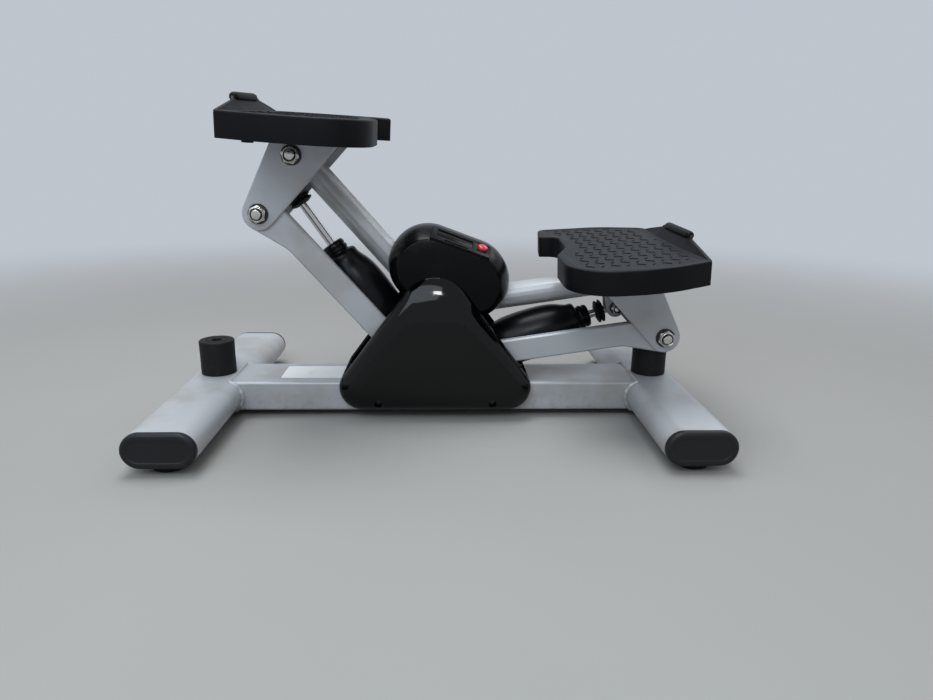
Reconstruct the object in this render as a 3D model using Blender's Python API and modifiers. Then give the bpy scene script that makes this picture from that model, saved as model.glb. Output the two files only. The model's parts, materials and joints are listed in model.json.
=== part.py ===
"""Side stepper: two pedals on a rocking parallelogram linkage, slowed by two dampers.

Units are metres. +Z is up, +X runs from the left pedal to the right one, and +Y runs
away from the side that carries the cover screws. The origin is on the floor, midway
between the four feet. The machine is modelled with its right pedal down on its stop.
"""
import bpy
import bmesh
from math import acos, asin, atan2, ceil, cos, hypot, pi, radians, sin, tan
from mathutils import Matrix, Vector

MM = 0.001
FIT = 0.3 * MM
ARC_STEP = radians(20)
SIDES = {"left": -1, "right": 1}
ENDS = {"front": -1, "rear": 1}

# Base frame
FOOT_HEIGHT = 10 * MM
FOOT_RADIUS = 19 * MM
FOOT_INSET = 24 * MM
STOP_OVERHANG = 6.7 * MM
CROSS_LENGTH = 417 * MM
CROSS_WIDTH = 80 * MM
CROSS_HEIGHT = 40 * MM
CROSS_WALL = 2 * MM
CAP_FLANGE = 7.5 * MM
CAP_PLUG = 16 * MM
BEAM_DEPTH = 84 * MM
BEAM_HEIGHT = 38.5 * MM
BEAM_WALL = 2 * MM
BEAM_CORNER = 3 * MM
STOP_RADIUS = 22.5 * MM
STOP_RECESS_RADIUS = 7 * MM
STOP_RECESS_DEPTH = 10 * MM
STOP_SCREW_RADIUS = 3 * MM

# Linkage, in the plane of X and Z
ARM_LENGTH = 256 * MM
ARM_ANGLE = radians(28.5)
SWING = radians(20)
AXLE_HEIGHT = 139.5 * MM
LINK_PIVOT_X = 43.5 * MM
PIVOT_RISE = 69 * MM
DAMPER_PIN_X = 30.5 * MM
DAMPER_PIN_Z = 67.7 * MM
EYE_SETBACK = 19 * MM
EYE_DROP = 36 * MM

# Depths along Y, from the front of the linkage to its back
BRACKET_FRONT = -40 * MM
BRACKET_WALL = 3 * MM
LINK_FRONT = -35 * MM
LINK_THICKNESS = 11 * MM
RUN_DEPTH = 11 * MM
TUBE_RADIUS = 16.5 * MM
TUBE_WALL = 2 * MM
BRACKET_REAR = RUN_DEPTH + TUBE_RADIUS + BRACKET_WALL + 0.8 * MM
BRACKET_GAP_FRONT = BRACKET_FRONT + BRACKET_WALL
BRACKET_GAP_REAR = BRACKET_REAR - BRACKET_WALL
LINK_REAR = LINK_FRONT + LINK_THICKNESS

BRACKET_TOP = 115 * MM
BRACKET_OUTER_RUN = 33.8 * MM
BRACKET_INNER_RUN = 134.5 * MM
BRACKET_EYE_RADIUS = 20 * MM
FLANGE_REACH = 46 * MM
FLANGE_HALF_LENGTH = 60 * MM

# Tower bracket
TOWER_WALL = 4 * MM
TOWER_HALF_DEPTH = 41 * MM
TOWER_BASE_HALF = 60 * MM
TOWER_BASE_WALL = 3 * MM
TOWER_MIDDLE_FRONT = -19 * MM
TOWER_HEAD_RADIUS = 20 * MM
TOWER_LUG_RADIUS = 14.5 * MM

# Rocker, links and their fasteners
HUB_RADIUS = 20 * MM
BUSH_RADIUS = 14 * MM
BUSH_FLANGE = 2 * MM
BUSH_LENGTH = 18 * MM
SLEEVE_RADIUS = 13 * MM
LUG_RADIUS = 12.5 * MM
LUG_WALL = 4 * MM
LUG_GAP = 12.8 * MM
LINK_TOP = 25.5 * MM
LINK_BOTTOM = -5 * MM
LINK_EYE_RADIUS = 21 * MM
LINK_HEEL_RADIUS = 16 * MM
LINK_TAPER = 54 * MM
AXLE_RADIUS = 8 * MM
PIVOT_RADIUS = 6 * MM
PIN_RADIUS = 4 * MM
NUT_SCALE = 1.6
NUT_HEIGHT = 8 * MM
HEAD_HEIGHT = 5 * MM
WASHER_THICKNESS = 1.6 * MM
THREAD_END = 3.5 * MM

# Dampers, along their own axis from the lower pin; cylinder and rod grow and shrink with the arm
CYLINDER_SHORTFALL = 73 * MM
ROD_SHORTFALL = 91 * MM
ROD_RADIUS = 5.5 * MM
ROD_LENGTH = ARM_LENGTH - ROD_SHORTFALL
ROD_EYE_RADIUS = 11 * MM
ROD_EYE_WIDTH = 12 * MM
ROD_EYE_CLEARANCE = 3.4 * MM
CYLINDER_RADIUS = 14 * MM
CYLINDER_START = 22 * MM
CYLINDER_END = ARM_LENGTH - CYLINDER_SHORTFALL
CYLINDER_BORE_START = 48 * MM
PIN_EYE_RADIUS = 12 * MM
PIN_EYE_WIDTH = 20 * MM
BOOT_START = 36 * MM
BOOT_CAP = 2.5 * MM
BOOT_END = CYLINDER_END + BOOT_CAP
BOOT_NECK = 19.5 * MM
BOOT_RADIUS = 33.8 * MM
BOOT_WALL = 2.6 * MM
BUMPER_REACH = 21 * MM
BUMPER_LENGTH = 12 * MM
BUMPER_RADIUS = 15.5 * MM

# Pedals
PEDAL_OFFSET = 21.2 * MM
PEDAL_RISE = 47.6 * MM
PEDAL_CANT = radians(3.1)
PEDAL_PITCH = radians(3.3)
PEDAL_WIDTH = 170 * MM
PEDAL_LENGTH = 300 * MM
PEDAL_SKIRT = 28 * MM
PEDAL_WALL = 3 * MM
DECK_THICKNESS = 4 * MM
RIB_DEPTH = 10 * MM
RIB_THICKNESS = 2.4 * MM
FLANGE_THICKNESS = 3 * MM
TREAD_HEIGHT = 1.2 * MM
TREAD_WIDTH = 3 * MM
TREAD_LONG = 15 * MM
TREAD_SHORT = 11 * MM
TREAD_PITCH = 20 * MM
TREAD_BORDER = 11 * MM
GUARD_HEIGHT = 17.5 * MM
GUARD_FLARE = 9 * MM
GUARD_WALL = 3.5 * MM
GUARD_ROLL = 4.2 * MM
GUARD_START = -0.185
GUARD_END = 0.135

# Tower covers
COVER_FRONT = 60 * MM
COVER_WALL = 2.5 * MM
COVER_FILLET = 12 * MM
COVER_CROWN = 2 * MM
COVER_HEAD_RADIUS = 48 * MM
COVER_FOOT_RADIUS = 29.5 * MM
COVER_FOOT_X = 94.5 * MM
COVER_FOOT_Z = 43 * MM
COVER_SILL = 58 * MM
COVER_SLOT_DEPTH = 47.5 * MM
COVER_SCREW_X = 73.3 * MM
COVER_SCREW_Z = 26 * MM
COVER_SCREW_RADIUS = 2.4 * MM
COVER_BOSS_RADIUS = 8 * MM

# Console pod, in the rocker's own frame
POD_RADIUS = 51 * MM
POD_HALF_SPAN = 28.5 * MM
POD_CENTRE = 51 * MM
POD_HALF_DEPTH = 46 * MM
POD_WALL = 2.5 * MM
POD_MOUTH_HALF = 46 * MM
POD_MOUTH_TOP = 13 * MM
CONSOLE_LEAN = radians(20)
CONSOLE_WIDTH = 77 * MM
CONSOLE_LENGTH = 33 * MM
CONSOLE_THICKNESS = 12 * MM
CONSOLE_CENTRE_Y = -30.5 * MM
CONSOLE_CENTRE_Z = 95.8 * MM
BUTTON_RADIUS = 6.5 * MM
BUTTON_X = 28 * MM
BUTTON_PROUD = 3.5 * MM
BUTTON_DEPTH = 5 * MM

# Finishes: base colour, roughness, metallic
SILVER_PAINT = ((0.42, 0.44, 0.46, 1), 0.38, 0.75)
ZINC = ((0.62, 0.62, 0.60, 1), 0.3, 1.0)
CHROME = ((0.75, 0.75, 0.76, 1), 0.1, 1.0)
GLOSS_BLACK = ((0.012, 0.012, 0.013, 1), 0.12, 0.0)
SATIN_BLACK = ((0.02, 0.02, 0.022, 1), 0.38, 0.0)
CHARCOAL = ((0.045, 0.046, 0.05, 1), 0.6, 0.0)
RUBBER = ((0.018, 0.018, 0.018, 1), 0.8, 0.0)
NYLON = ((0.6, 0.6, 0.56, 1), 0.5, 0.0)
RED = ((0.6, 0.015, 0.02, 1), 0.3, 0.0)
GLASS = ((0.1, 0.11, 0.1, 1), 0.08, 0.0)

for leftover in list(bpy.data.objects):
    bpy.data.objects.remove(leftover)

PARTS = bpy.data.collections.new("side_stepper")
TOOLS = bpy.data.collections.new("cutters")
bpy.context.scene.collection.children.link(PARTS)
bpy.context.scene.collection.children.link(TOOLS)


# Outlines

def circle(x, y, radius, sides=24):
    """Outline of a circle."""
    return [(x + radius * cos(2 * pi * k / sides), y + radius * sin(2 * pi * k / sides))
            for k in range(sides)]


def arc(x, y, radius, start, sweep):
    """Points along an arc, close enough together to look round."""
    steps = max(1, ceil(abs(sweep) / ARC_STEP - 0.01))
    return [(x + radius * cos(start + sweep * k / steps), y + radius * sin(start + sweep * k / steps))
            for k in range(steps + 1)]


def belt(circles):
    """Outline of a belt round circles (x, y, radius) that are listed anticlockwise."""
    leaving = []
    for (ax, ay, a), (bx, by, b) in zip(circles, circles[1:] + circles[:1]):
        leaving.append(atan2(by - ay, bx - ax) - acos((a - b) / hypot(bx - ax, by - ay)))
    outline = []
    for index, (x, y, radius) in enumerate(circles):
        if radius:
            outline += arc(x, y, radius, leaving[index - 1],
                           (leaving[index] - leaving[index - 1]) % (2 * pi))
        else:
            outline.append((x, y))
    return outline


def rounded(corners):
    """Outline of a polygon of (x, y, corner radius)."""
    outline = []
    for index, (x, y, radius) in enumerate(corners):
        here = Vector((x, y))
        before = (Vector(corners[index - 1][:2]) - here).normalized()
        after = (Vector(corners[(index + 1) % len(corners)][:2]) - here).normalized()
        if not radius:
            outline.append((x, y))
            continue
        half = before.angle(after) / 2
        centre = here + (before + after).normalized() * radius / sin(half)
        first = here + before * radius / tan(half) - centre
        last = here + after * radius / tan(half) - centre
        start = atan2(first.y, first.x)
        sweep = (atan2(last.y, last.x) - start + pi) % (2 * pi) - pi
        outline += arc(centre.x, centre.y, radius, start, sweep)
    return outline


def stadium(x, y, width, height, inset=0.0):
    """Outline of a bar with round ends, lying along X."""
    radius = height / 2
    half = width / 2 - radius
    return (arc(x + half, y, radius - inset, -pi / 2, pi)
            + arc(x - half, y, radius - inset, pi / 2, pi))


def flipped(outline, side):
    """The outline as it is for the right side, or its mirror image for the left."""
    return outline if side > 0 else [(-x, y) for x, y in reversed(outline)]


def swung(x, z, angle):
    """A point of the rocker's frame after the rocker turns clockwise, seen from the front."""
    return x * cos(angle) + z * sin(angle), z * cos(angle) - x * sin(angle)


# Solids

def finish(body, name, look):
    """Give a body its own material."""
    colour, roughness, metallic = look
    material = bpy.data.materials.new(name + "_finish")
    material.use_nodes = True
    shader = material.node_tree.nodes["Principled BSDF"]
    shader.inputs["Base Color"].default_value = colour
    shader.inputs["Roughness"].default_value = roughness
    shader.inputs["Metallic"].default_value = metallic
    material.diffuse_color = colour
    body.data.materials.append(material)


def from_bmesh(name, shape):
    """A new object that holds a bmesh."""
    mesh = bpy.data.meshes.new(name)
    shape.to_mesh(mesh)
    shape.free()
    mesh.shade_smooth()
    mesh.set_sharp_from_angle(angle=radians(35))
    body = bpy.data.objects.new(name, mesh)
    TOOLS.objects.link(body)
    return body


def slab(name, outline, low, high, axis="Y", holes=()):
    """A flat outline given its thickness from low to high along one axis."""
    curve = bpy.data.curves.new(name, "CURVE")
    curve.dimensions = "2D"
    curve.fill_mode = "BOTH"
    curve.extrude = (high - low) / 2
    for loop in (outline, *holes):
        spline = curve.splines.new("POLY")
        spline.points.add(len(loop) - 1)
        for point, (x, y) in zip(spline.points, loop):
            point.co = (x, y, 0, 1)
        spline.use_cyclic_u = True
    drawn = bpy.data.objects.new(name, curve)
    middle = (low + high) / 2
    if axis == "X":
        drawn.rotation_euler = (pi / 2, 0, pi / 2)
        drawn.location = (middle, 0, 0)
    elif axis == "Y":
        drawn.rotation_euler = (pi / 2, 0, 0)
        drawn.location = (0, middle, 0)
    else:
        drawn.location = (0, 0, middle)
    TOOLS.objects.link(drawn)
    bpy.context.view_layer.update()
    filled = bpy.data.meshes.new_from_object(drawn.evaluated_get(bpy.context.evaluated_depsgraph_get()))
    shape = bmesh.new()
    shape.from_mesh(filled)
    bmesh.ops.remove_doubles(shape, verts=shape.verts, dist=0.001 * MM)
    bmesh.ops.recalc_face_normals(shape, faces=shape.faces)
    bmesh.ops.dissolve_limit(shape, angle_limit=radians(0.5), verts=shape.verts, edges=shape.edges)
    body = from_bmesh(name, shape)
    body.matrix_world = drawn.matrix_world.copy()
    bpy.data.objects.remove(drawn)
    bpy.data.meshes.remove(filled)
    return body


def rod(name, radius, low, high, x=0.0, z=0.0, sides=20, axis="Y", y=0.0):
    """A round bar from low to high along one axis."""
    shape = bmesh.new()
    bmesh.ops.create_cone(shape, cap_ends=True, segments=sides, radius1=radius, radius2=radius,
                          depth=high - low)
    body = from_bmesh(name, shape)
    middle = (low + high) / 2
    if axis == "Y":
        body.rotation_euler = (-pi / 2, 0, 0)
        body.location = (x, middle, z)
    else:
        body.location = (x, y, middle)
    return body


def box(name, low, high):
    """A box from its lowest corner to its highest one."""
    shape = bmesh.new()
    bmesh.ops.create_cube(shape, size=1.0)
    size = Vector(high) - Vector(low)
    bmesh.ops.scale(shape, vec=size, verts=shape.verts)
    body = from_bmesh(name, shape)
    body.location = (Vector(low) + Vector(high)) / 2
    return body


def turned(name, profile, sides=24):
    """A profile of (radius, height), outer side from top to bottom, turned about Z."""
    mesh = bpy.data.meshes.new(name)
    points = [(radius, 0, height) for radius, height in profile]
    edges = [(k, k + 1) for k in range(len(points) - 1)]
    if profile[0][0]:
        edges.append((len(points) - 1, 0))
    mesh.from_pydata(points, edges, [])
    body = bpy.data.objects.new(name, mesh)
    TOOLS.objects.link(body)
    screw = body.modifiers.new("turn", "SCREW")
    screw.steps = sides
    screw.render_steps = sides
    screw.use_merge_vertices = True
    screw.merge_threshold = 0.01 * MM
    return body


def loft(name, rings):
    """A closed skin over rings of as many points each, with flat ends."""
    shape = bmesh.new()
    loops = [[shape.verts.new(point) for point in ring] for ring in rings]
    for one, two in zip(loops, loops[1:]):
        for k in range(len(one)):
            shape.faces.new((one[k - 1], one[k], two[k], two[k - 1]))
    shape.faces.new(loops[0])
    shape.faces.new(reversed(loops[-1]))
    bmesh.ops.recalc_face_normals(shape, faces=shape.faces)
    return from_bmesh(name, shape)


def at_depth(outline, y):
    """An outline in X and Z placed at a depth."""
    return [(x, y, z) for x, z in outline]


def bevel(body, width, segments=2, angle=50):
    """Round the sharp edges of a body."""
    modifier = body.modifiers.new("bevel", "BEVEL")
    modifier.width = width
    modifier.segments = segments
    modifier.limit_method = "ANGLE"
    modifier.angle_limit = radians(angle)
    return body


def combine(body, tool, operation):
    modifier = body.modifiers.new(operation.lower(), "BOOLEAN")
    modifier.operation = operation
    modifier.solver = "EXACT"
    modifier.object = tool
    tool.hide_render = True
    tool.display_type = "WIRE"
    if tool.parent is None and body.parent is not None:
        tool.parent = body.parent
    return body


def cut(body, *tools):
    for tool in tools:
        combine(body, tool, "DIFFERENCE")
    return body


def join(body, *tools):
    for tool in tools:
        combine(body, tool, "UNION")
    return body


def part(body, name, look, parent=None):
    """Make a body one of the named parts, carried by its frame."""
    TOOLS.objects.unlink(body)
    PARTS.objects.link(body)
    body.name = name
    finish(body, name, look)
    if parent is not None:
        body.parent = parent
        for modifier in body.modifiers:
            if modifier.type == "BOOLEAN" and modifier.object.parent is None:
                modifier.object.parent = parent
    return body


def frame(name, location, turn=(0, 0, 0), parent=None):
    """An empty that carries the parts of one body."""
    empty = bpy.data.objects.new(name, None)
    empty.location = location
    empty.rotation_euler = turn
    empty.empty_display_size = 20 * MM
    empty.parent = parent
    PARTS.objects.link(empty)
    return empty


# Places that several pieces share

CROSS_Z = FOOT_HEIGHT + CROSS_HEIGHT / 2
CROSS_TOP = FOOT_HEIGHT + CROSS_HEIGHT
BEAM_TOP = CROSS_Z + BEAM_HEIGHT / 2
LINK_PIVOT_Z = AXLE_HEIGHT - PIVOT_RISE
LOWER_EYE = (LINK_PIVOT_X, -PIVOT_RISE)


def arm_angle(side):
    """Angle of an arm and its link above the floor in the modelled pose."""
    return ARM_ANGLE - side * SWING


def upper_pivot(side):
    """Where an arm carries its pedal bracket."""
    angle = arm_angle(side)
    return side * ARM_LENGTH * cos(angle), AXLE_HEIGHT + ARM_LENGTH * sin(angle)


def rocker_eye(side):
    """The damper lug's hole in the rocker's frame."""
    along = ARM_LENGTH - EYE_SETBACK
    return (side * (along * cos(ARM_ANGLE) + EYE_DROP * sin(ARM_ANGLE)),
            along * sin(ARM_ANGLE) - EYE_DROP * cos(ARM_ANGLE))


def damper_line(side):
    """Length and direction of a damper from its lower pin to its lug."""
    x, z = swung(*rocker_eye(side), SWING)
    along_x = x - side * DAMPER_PIN_X
    along_z = z + AXLE_HEIGHT - DAMPER_PIN_Z
    return hypot(along_x, along_z), atan2(along_z, along_x)


CROSS_X = LINK_PIVOT_X + ARM_LENGTH * cos(arm_angle(1)) - STOP_OVERHANG
STOP_TOP = LINK_PIVOT_Z + ARM_LENGTH * sin(arm_angle(1)) - SLEEVE_RADIUS - FIT


# Fasteners

def through_bolt(name, radius, head_face, nut_face, x, z, parent, look=ZINC):
    """A bolt along Y with its nut: the nut is at the front, the head at the back."""
    nut_front = nut_face - WASHER_THICKNESS - NUT_HEIGHT
    head_rear = head_face + WASHER_THICKNESS + HEAD_HEIGHT
    body = rod(name, radius, nut_front - THREAD_END, head_rear - 1 * MM, x, z, 16)
    washer_radius = radius * (NUT_SCALE + 0.35)
    join(body,
         rod(name + "_nut", radius * NUT_SCALE, nut_front, nut_face - WASHER_THICKNESS + 0.1 * MM, x, z, 6),
         rod(name + "_washer", washer_radius, nut_face - WASHER_THICKNESS, nut_face - 0.1 * MM, x, z, 16),
         rod(name + "_head", radius * NUT_SCALE, head_face + WASHER_THICKNESS - 0.1 * MM, head_rear, x, z, 6),
         rod(name + "_seat", washer_radius, head_face + 0.1 * MM, head_face + WASHER_THICKNESS, x, z, 16))
    return part(body, name, look, parent)


# Base

def cross_tube(word, side):
    outline = stadium(side * CROSS_X, CROSS_Z, CROSS_WIDTH, CROSS_HEIGHT)
    inner = stadium(side * CROSS_X, CROSS_Z, CROSS_WIDTH, CROSS_HEIGHT, CROSS_WALL)
    half = CROSS_LENGTH / 2 - FIT
    tube = slab("cross_tube_" + word, outline, -half, half, holes=[inner])
    cut(tube, rod("stop_screw_hole", STOP_SCREW_RADIUS + FIT, CROSS_TOP - 6 * MM, CROSS_TOP + 6 * MM,
                  x=side * CROSS_X, axis="Z", sides=16))
    part(tube, "cross_tube_" + word, SILVER_PAINT)


def end_cap(word, side, end_word, end):
    """A moulded plug whose flange covers the tube's end, with a sunk face."""
    tube_end = CROSS_LENGTH / 2
    plug_inset = CROSS_WALL + FIT
    steps = [(CAP_FLANGE - 1 * MM, 8 * MM), (CAP_FLANGE, 6.5 * MM), (CAP_FLANGE - 0.8 * MM, 2.2 * MM),
             (CAP_FLANGE - 3 * MM, 0), (0, 0), (0, plug_inset), (-CAP_PLUG, plug_inset + 0.6 * MM)]
    rings = [at_depth(stadium(side * CROSS_X, CROSS_Z, CROSS_WIDTH, CROSS_HEIGHT, inset),
                      end * (tube_end + reach)) for reach, inset in steps]
    name = f"end_cap_{word}_{end_word}"
    part(loft(name, rings), name, SATIN_BLACK)


def foot_pad(word, side, end_word, end):
    name = f"foot_pad_{word}_{end_word}"
    top = FOOT_HEIGHT - FIT
    profile = [(0, top), (FOOT_RADIUS, top), (FOOT_RADIUS, 3 * MM), (FOOT_RADIUS - 2 * MM, 0), (0, 0)]
    pad = turned(name, profile, 24)
    pad.location = (side * CROSS_X, end * (CROSS_LENGTH / 2 - FOOT_INSET), 0)
    part(pad, name, RUBBER)


def bump_stop(word, side):
    """A rubber post that the arm's sleeve lands on, with its screw sunk in the top."""
    low = CROSS_TOP + FIT
    floor = STOP_TOP - STOP_RECESS_DEPTH
    bore = STOP_SCREW_RADIUS + FIT
    profile = [(STOP_RECESS_RADIUS, STOP_TOP), (STOP_RADIUS - 1.5 * MM, STOP_TOP),
               (STOP_RADIUS, STOP_TOP - 1.5 * MM), (STOP_RADIUS, low), (bore, low),
               (bore, floor), (STOP_RECESS_RADIUS, floor)]
    post = turned("bump_stop_" + word, profile)
    post.location = (side * CROSS_X, 0, 0)
    part(post, "bump_stop_" + word, RUBBER)
    seat = floor + FIT
    screw = turned("stop_screw_" + word,
                   [(0, seat + 4 * MM), (5.4 * MM, seat + 4 * MM), (5.8 * MM, seat + 3.4 * MM),
                    (5.8 * MM, seat), (STOP_SCREW_RADIUS, seat), (STOP_SCREW_RADIUS, CROSS_TOP - 7 * MM),
                    (0, CROSS_TOP - 7 * MM)], 20)
    screw.location = (side * CROSS_X, 0, 0)
    part(screw, "stop_screw_" + word, ZINC)


def main_beam():
    """A rectangular tube, its ends shaped to the round sides of the cross tubes."""
    half, rise = BEAM_DEPTH / 2, BEAM_HEIGHT / 2
    outer = rounded([(-half, CROSS_Z - rise, BEAM_CORNER), (half, CROSS_Z - rise, BEAM_CORNER),
                     (half, CROSS_Z + rise, BEAM_CORNER), (-half, CROSS_Z + rise, BEAM_CORNER)])
    half, rise = half - BEAM_WALL, rise - BEAM_WALL
    corner = BEAM_CORNER - BEAM_WALL
    inner = rounded([(-half, CROSS_Z - rise, corner), (half, CROSS_Z - rise, corner),
                     (half, CROSS_Z + rise, corner), (-half, CROSS_Z + rise, corner)])
    reach = CROSS_X - (CROSS_WIDTH - CROSS_HEIGHT) / 2 - 6 * MM
    beam = slab("main_beam", outer, -reach, reach, axis="X", holes=[inner])
    for word, side in SIDES.items():
        cut(beam, slab("beam_cope_" + word,
                       stadium(side * CROSS_X, CROSS_Z, CROSS_WIDTH + 2 * FIT, CROSS_HEIGHT + 2 * FIT),
                       -BEAM_DEPTH, BEAM_DEPTH),
            rod("beam_screw_hole", COVER_SCREW_RADIUS + FIT, -BEAM_DEPTH, BEAM_DEPTH,
                side * COVER_SCREW_X, COVER_SCREW_Z, 16))
    part(beam, "main_beam", SILVER_PAINT)


def tower_bracket():
    """Three upright plates on one foot: the axle's pair and, between them, the pins' plate."""
    floor = BEAM_TOP + FIT
    foot = box("tower_bracket", (-TOWER_BASE_HALF, -TOWER_HALF_DEPTH, floor),
               (TOWER_BASE_HALF, TOWER_HALF_DEPTH, floor + TOWER_BASE_WALL))
    low = floor + 0.5 * MM
    shoulder = (LINK_PIVOT_X, LINK_PIVOT_Z, TOWER_LUG_RADIUS)
    corner = (TOWER_BASE_HALF - 1 * MM, low, 0)
    tall = belt([corner, shoulder, (0, AXLE_HEIGHT, TOWER_HEAD_RADIUS),
                 (-shoulder[0], shoulder[1], shoulder[2]), (-corner[0], low, 0)])
    short = belt([corner, shoulder, (-shoulder[0], shoulder[1], shoulder[2]), (-corner[0], low, 0)])
    join(foot,
         slab("tower_front_plate", tall, 0.2 * MM - TOWER_HALF_DEPTH, TOWER_WALL - TOWER_HALF_DEPTH),
         slab("tower_rear_plate", tall, TOWER_HALF_DEPTH - TOWER_WALL, TOWER_HALF_DEPTH - 0.2 * MM),
         slab("tower_middle_plate", short, TOWER_MIDDLE_FRONT, TOWER_MIDDLE_FRONT + TOWER_WALL))
    cut(foot, rod("axle_hole", AXLE_RADIUS + FIT, -60 * MM, 60 * MM, 0, AXLE_HEIGHT))
    for side in SIDES.values():
        cut(foot,
            rod("link_pivot_hole", PIVOT_RADIUS + FIT, -60 * MM, -10 * MM, side * LINK_PIVOT_X,
                LINK_PIVOT_Z, 20),
            rod("damper_pin_hole", PIN_RADIUS + FIT, TOWER_MIDDLE_FRONT - 5 * MM, 60 * MM,
                side * DAMPER_PIN_X, DAMPER_PIN_Z, 16))
    part(foot, "tower_bracket", SILVER_PAINT)


def tower_fasteners():
    front = 0.2 * MM - TOWER_HALF_DEPTH
    rear = TOWER_HALF_DEPTH - 0.2 * MM
    axle = rod("rocker_axle", AXLE_RADIUS, front - 4 * MM, rear + 4 * MM, 0, AXLE_HEIGHT)
    cap_radius = AXLE_RADIUS + 3 * MM
    join(axle, rod("axle_head", cap_radius, rear + FIT, rear + 4.4 * MM, 0, AXLE_HEIGHT),
         rod("axle_tail", cap_radius, front - 4.4 * MM, front - FIT, 0, AXLE_HEIGHT))
    part(axle, "rocker_axle", ZINC)
    for word, side in SIDES.items():
        x = side * LINK_PIVOT_X
        pin = rod("link_pivot_pin_" + word, PIVOT_RADIUS, front - 4.5 * MM,
                  TOWER_MIDDLE_FRONT + TOWER_WALL + 3 * MM, x, LINK_PIVOT_Z, 20)
        join(pin, rod("pin_head", PIVOT_RADIUS * NUT_SCALE, front - 5 * MM, front - FIT, x, LINK_PIVOT_Z, 6))
        part(pin, "link_pivot_pin_" + word, ZINC)
        x = side * DAMPER_PIN_X
        pin = rod("damper_pin_" + word, PIN_RADIUS, TOWER_MIDDLE_FRONT + FIT, rear + 4.5 * MM, x,
                  DAMPER_PIN_Z, 16)
        join(pin, rod("pin_head", PIN_RADIUS * NUT_SCALE, rear + FIT, rear + 5 * MM, x, DAMPER_PIN_Z, 6))
        part(pin, "damper_pin_" + word, ZINC)


# Tower covers

def cover_outline(inset):
    """Three corner circles inside one belt; the top one is centred on the axle."""
    return belt([(COVER_FOOT_X, COVER_FOOT_Z, COVER_FOOT_RADIUS - inset),
                 (0, AXLE_HEIGHT, COVER_HEAD_RADIUS - inset),
                 (-COVER_FOOT_X, COVER_FOOT_Z, COVER_FOOT_RADIUS - inset)])


def cover_rings(end, inset, depth, back):
    """Rings of a cover's skin from its crowned face round the fillet to its back edge."""
    rings = [at_depth(cover_outline(COVER_FOOT_RADIUS - 3 * MM), end * (depth + COVER_CROWN))]
    for k in range(3):
        angle = k * pi / 4
        rings.append(at_depth(cover_outline(inset + COVER_FILLET * (1 - sin(angle))),
                              end * (depth - COVER_FILLET * (1 - cos(angle)))))
    rings.append(at_depth(cover_outline(inset), end * back))
    return rings


def tower_cover(word, end):
    """A moulded half shell, open above its sill so that the linkage can swing."""
    name = "tower_cover_" + word
    shell = loft(name, cover_rings(end, 0, COVER_FRONT, FIT / 2))
    cut(shell, loft(name + "_hollow", cover_rings(end, COVER_WALL, COVER_FRONT - COVER_WALL, -5 * MM)))
    far = 150 * MM
    slot = end * COVER_SLOT_DEPTH
    cut(shell, box(name + "_slot", (-far, min(slot, -end * far), COVER_SILL),
                   (far, max(slot, -end * far), 2 * far)))
    channel = end * (BEAM_DEPTH / 2 + FIT)
    cut(shell, box(name + "_channel", (-far, min(channel, -end * far), -far),
                   (far, max(channel, -end * far), BEAM_TOP + FIT)))
    for side in SIDES.values():
        x = side * COVER_SCREW_X
        near, inside = sorted((end * (COVER_FRONT - 1.5 * MM), end * (BEAM_DEPTH / 2 + FIT)))
        join(shell, rod("cover_boss", COVER_BOSS_RADIUS, near, inside, x, COVER_SCREW_Z))
        face, seat = sorted((end * (COVER_FRONT + 6 * MM), end * (COVER_FRONT - 10 * MM)))
        hole_start, hole_end = sorted((end * COVER_FRONT, end * (BEAM_DEPTH / 2 - 4 * MM)))
        cut(shell, rod("cover_counterbore", 5.2 * MM, face, seat, x, COVER_SCREW_Z, 20),
            rod("cover_screw_hole", COVER_SCREW_RADIUS + FIT, hole_start, hole_end, x, COVER_SCREW_Z, 16))
    part(shell, name, GLOSS_BLACK)


def cover_screw(word, side, end_word, end):
    name = f"cover_screw_{word}_{end_word}"
    seat = COVER_FRONT - 10 * MM - FIT
    screw = turned(name, [(0, seat + 2.6 * MM), (3 * MM, seat + 2.6 * MM), (4.5 * MM, seat + 1.2 * MM),
                          (4.5 * MM, seat + 2 * FIT), (COVER_SCREW_RADIUS, seat + 2 * FIT),
                          (COVER_SCREW_RADIUS, BEAM_DEPTH / 2 - 6 * MM), (0, BEAM_DEPTH / 2 - 6 * MM)], 16)
    screw.location = (side * COVER_SCREW_X, 0, COVER_SCREW_Z)
    screw.rotation_euler = (-end * pi / 2, 0, 0)
    part(screw, name, ZINC)


# Rocker

def arm_tube(name, radius, low, high, side):
    """A round bar along one arm of the rocker, between two distances from its axle."""
    bar = rod(name, radius, low, high, sides=22, axis="Z")
    middle = (low + high) / 2
    bar.rotation_euler = (0, side * (pi / 2 - ARM_ANGLE), 0)
    bar.location = (side * middle * cos(ARM_ANGLE), RUN_DEPTH, middle * sin(ARM_ANGLE))
    return bar


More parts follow.
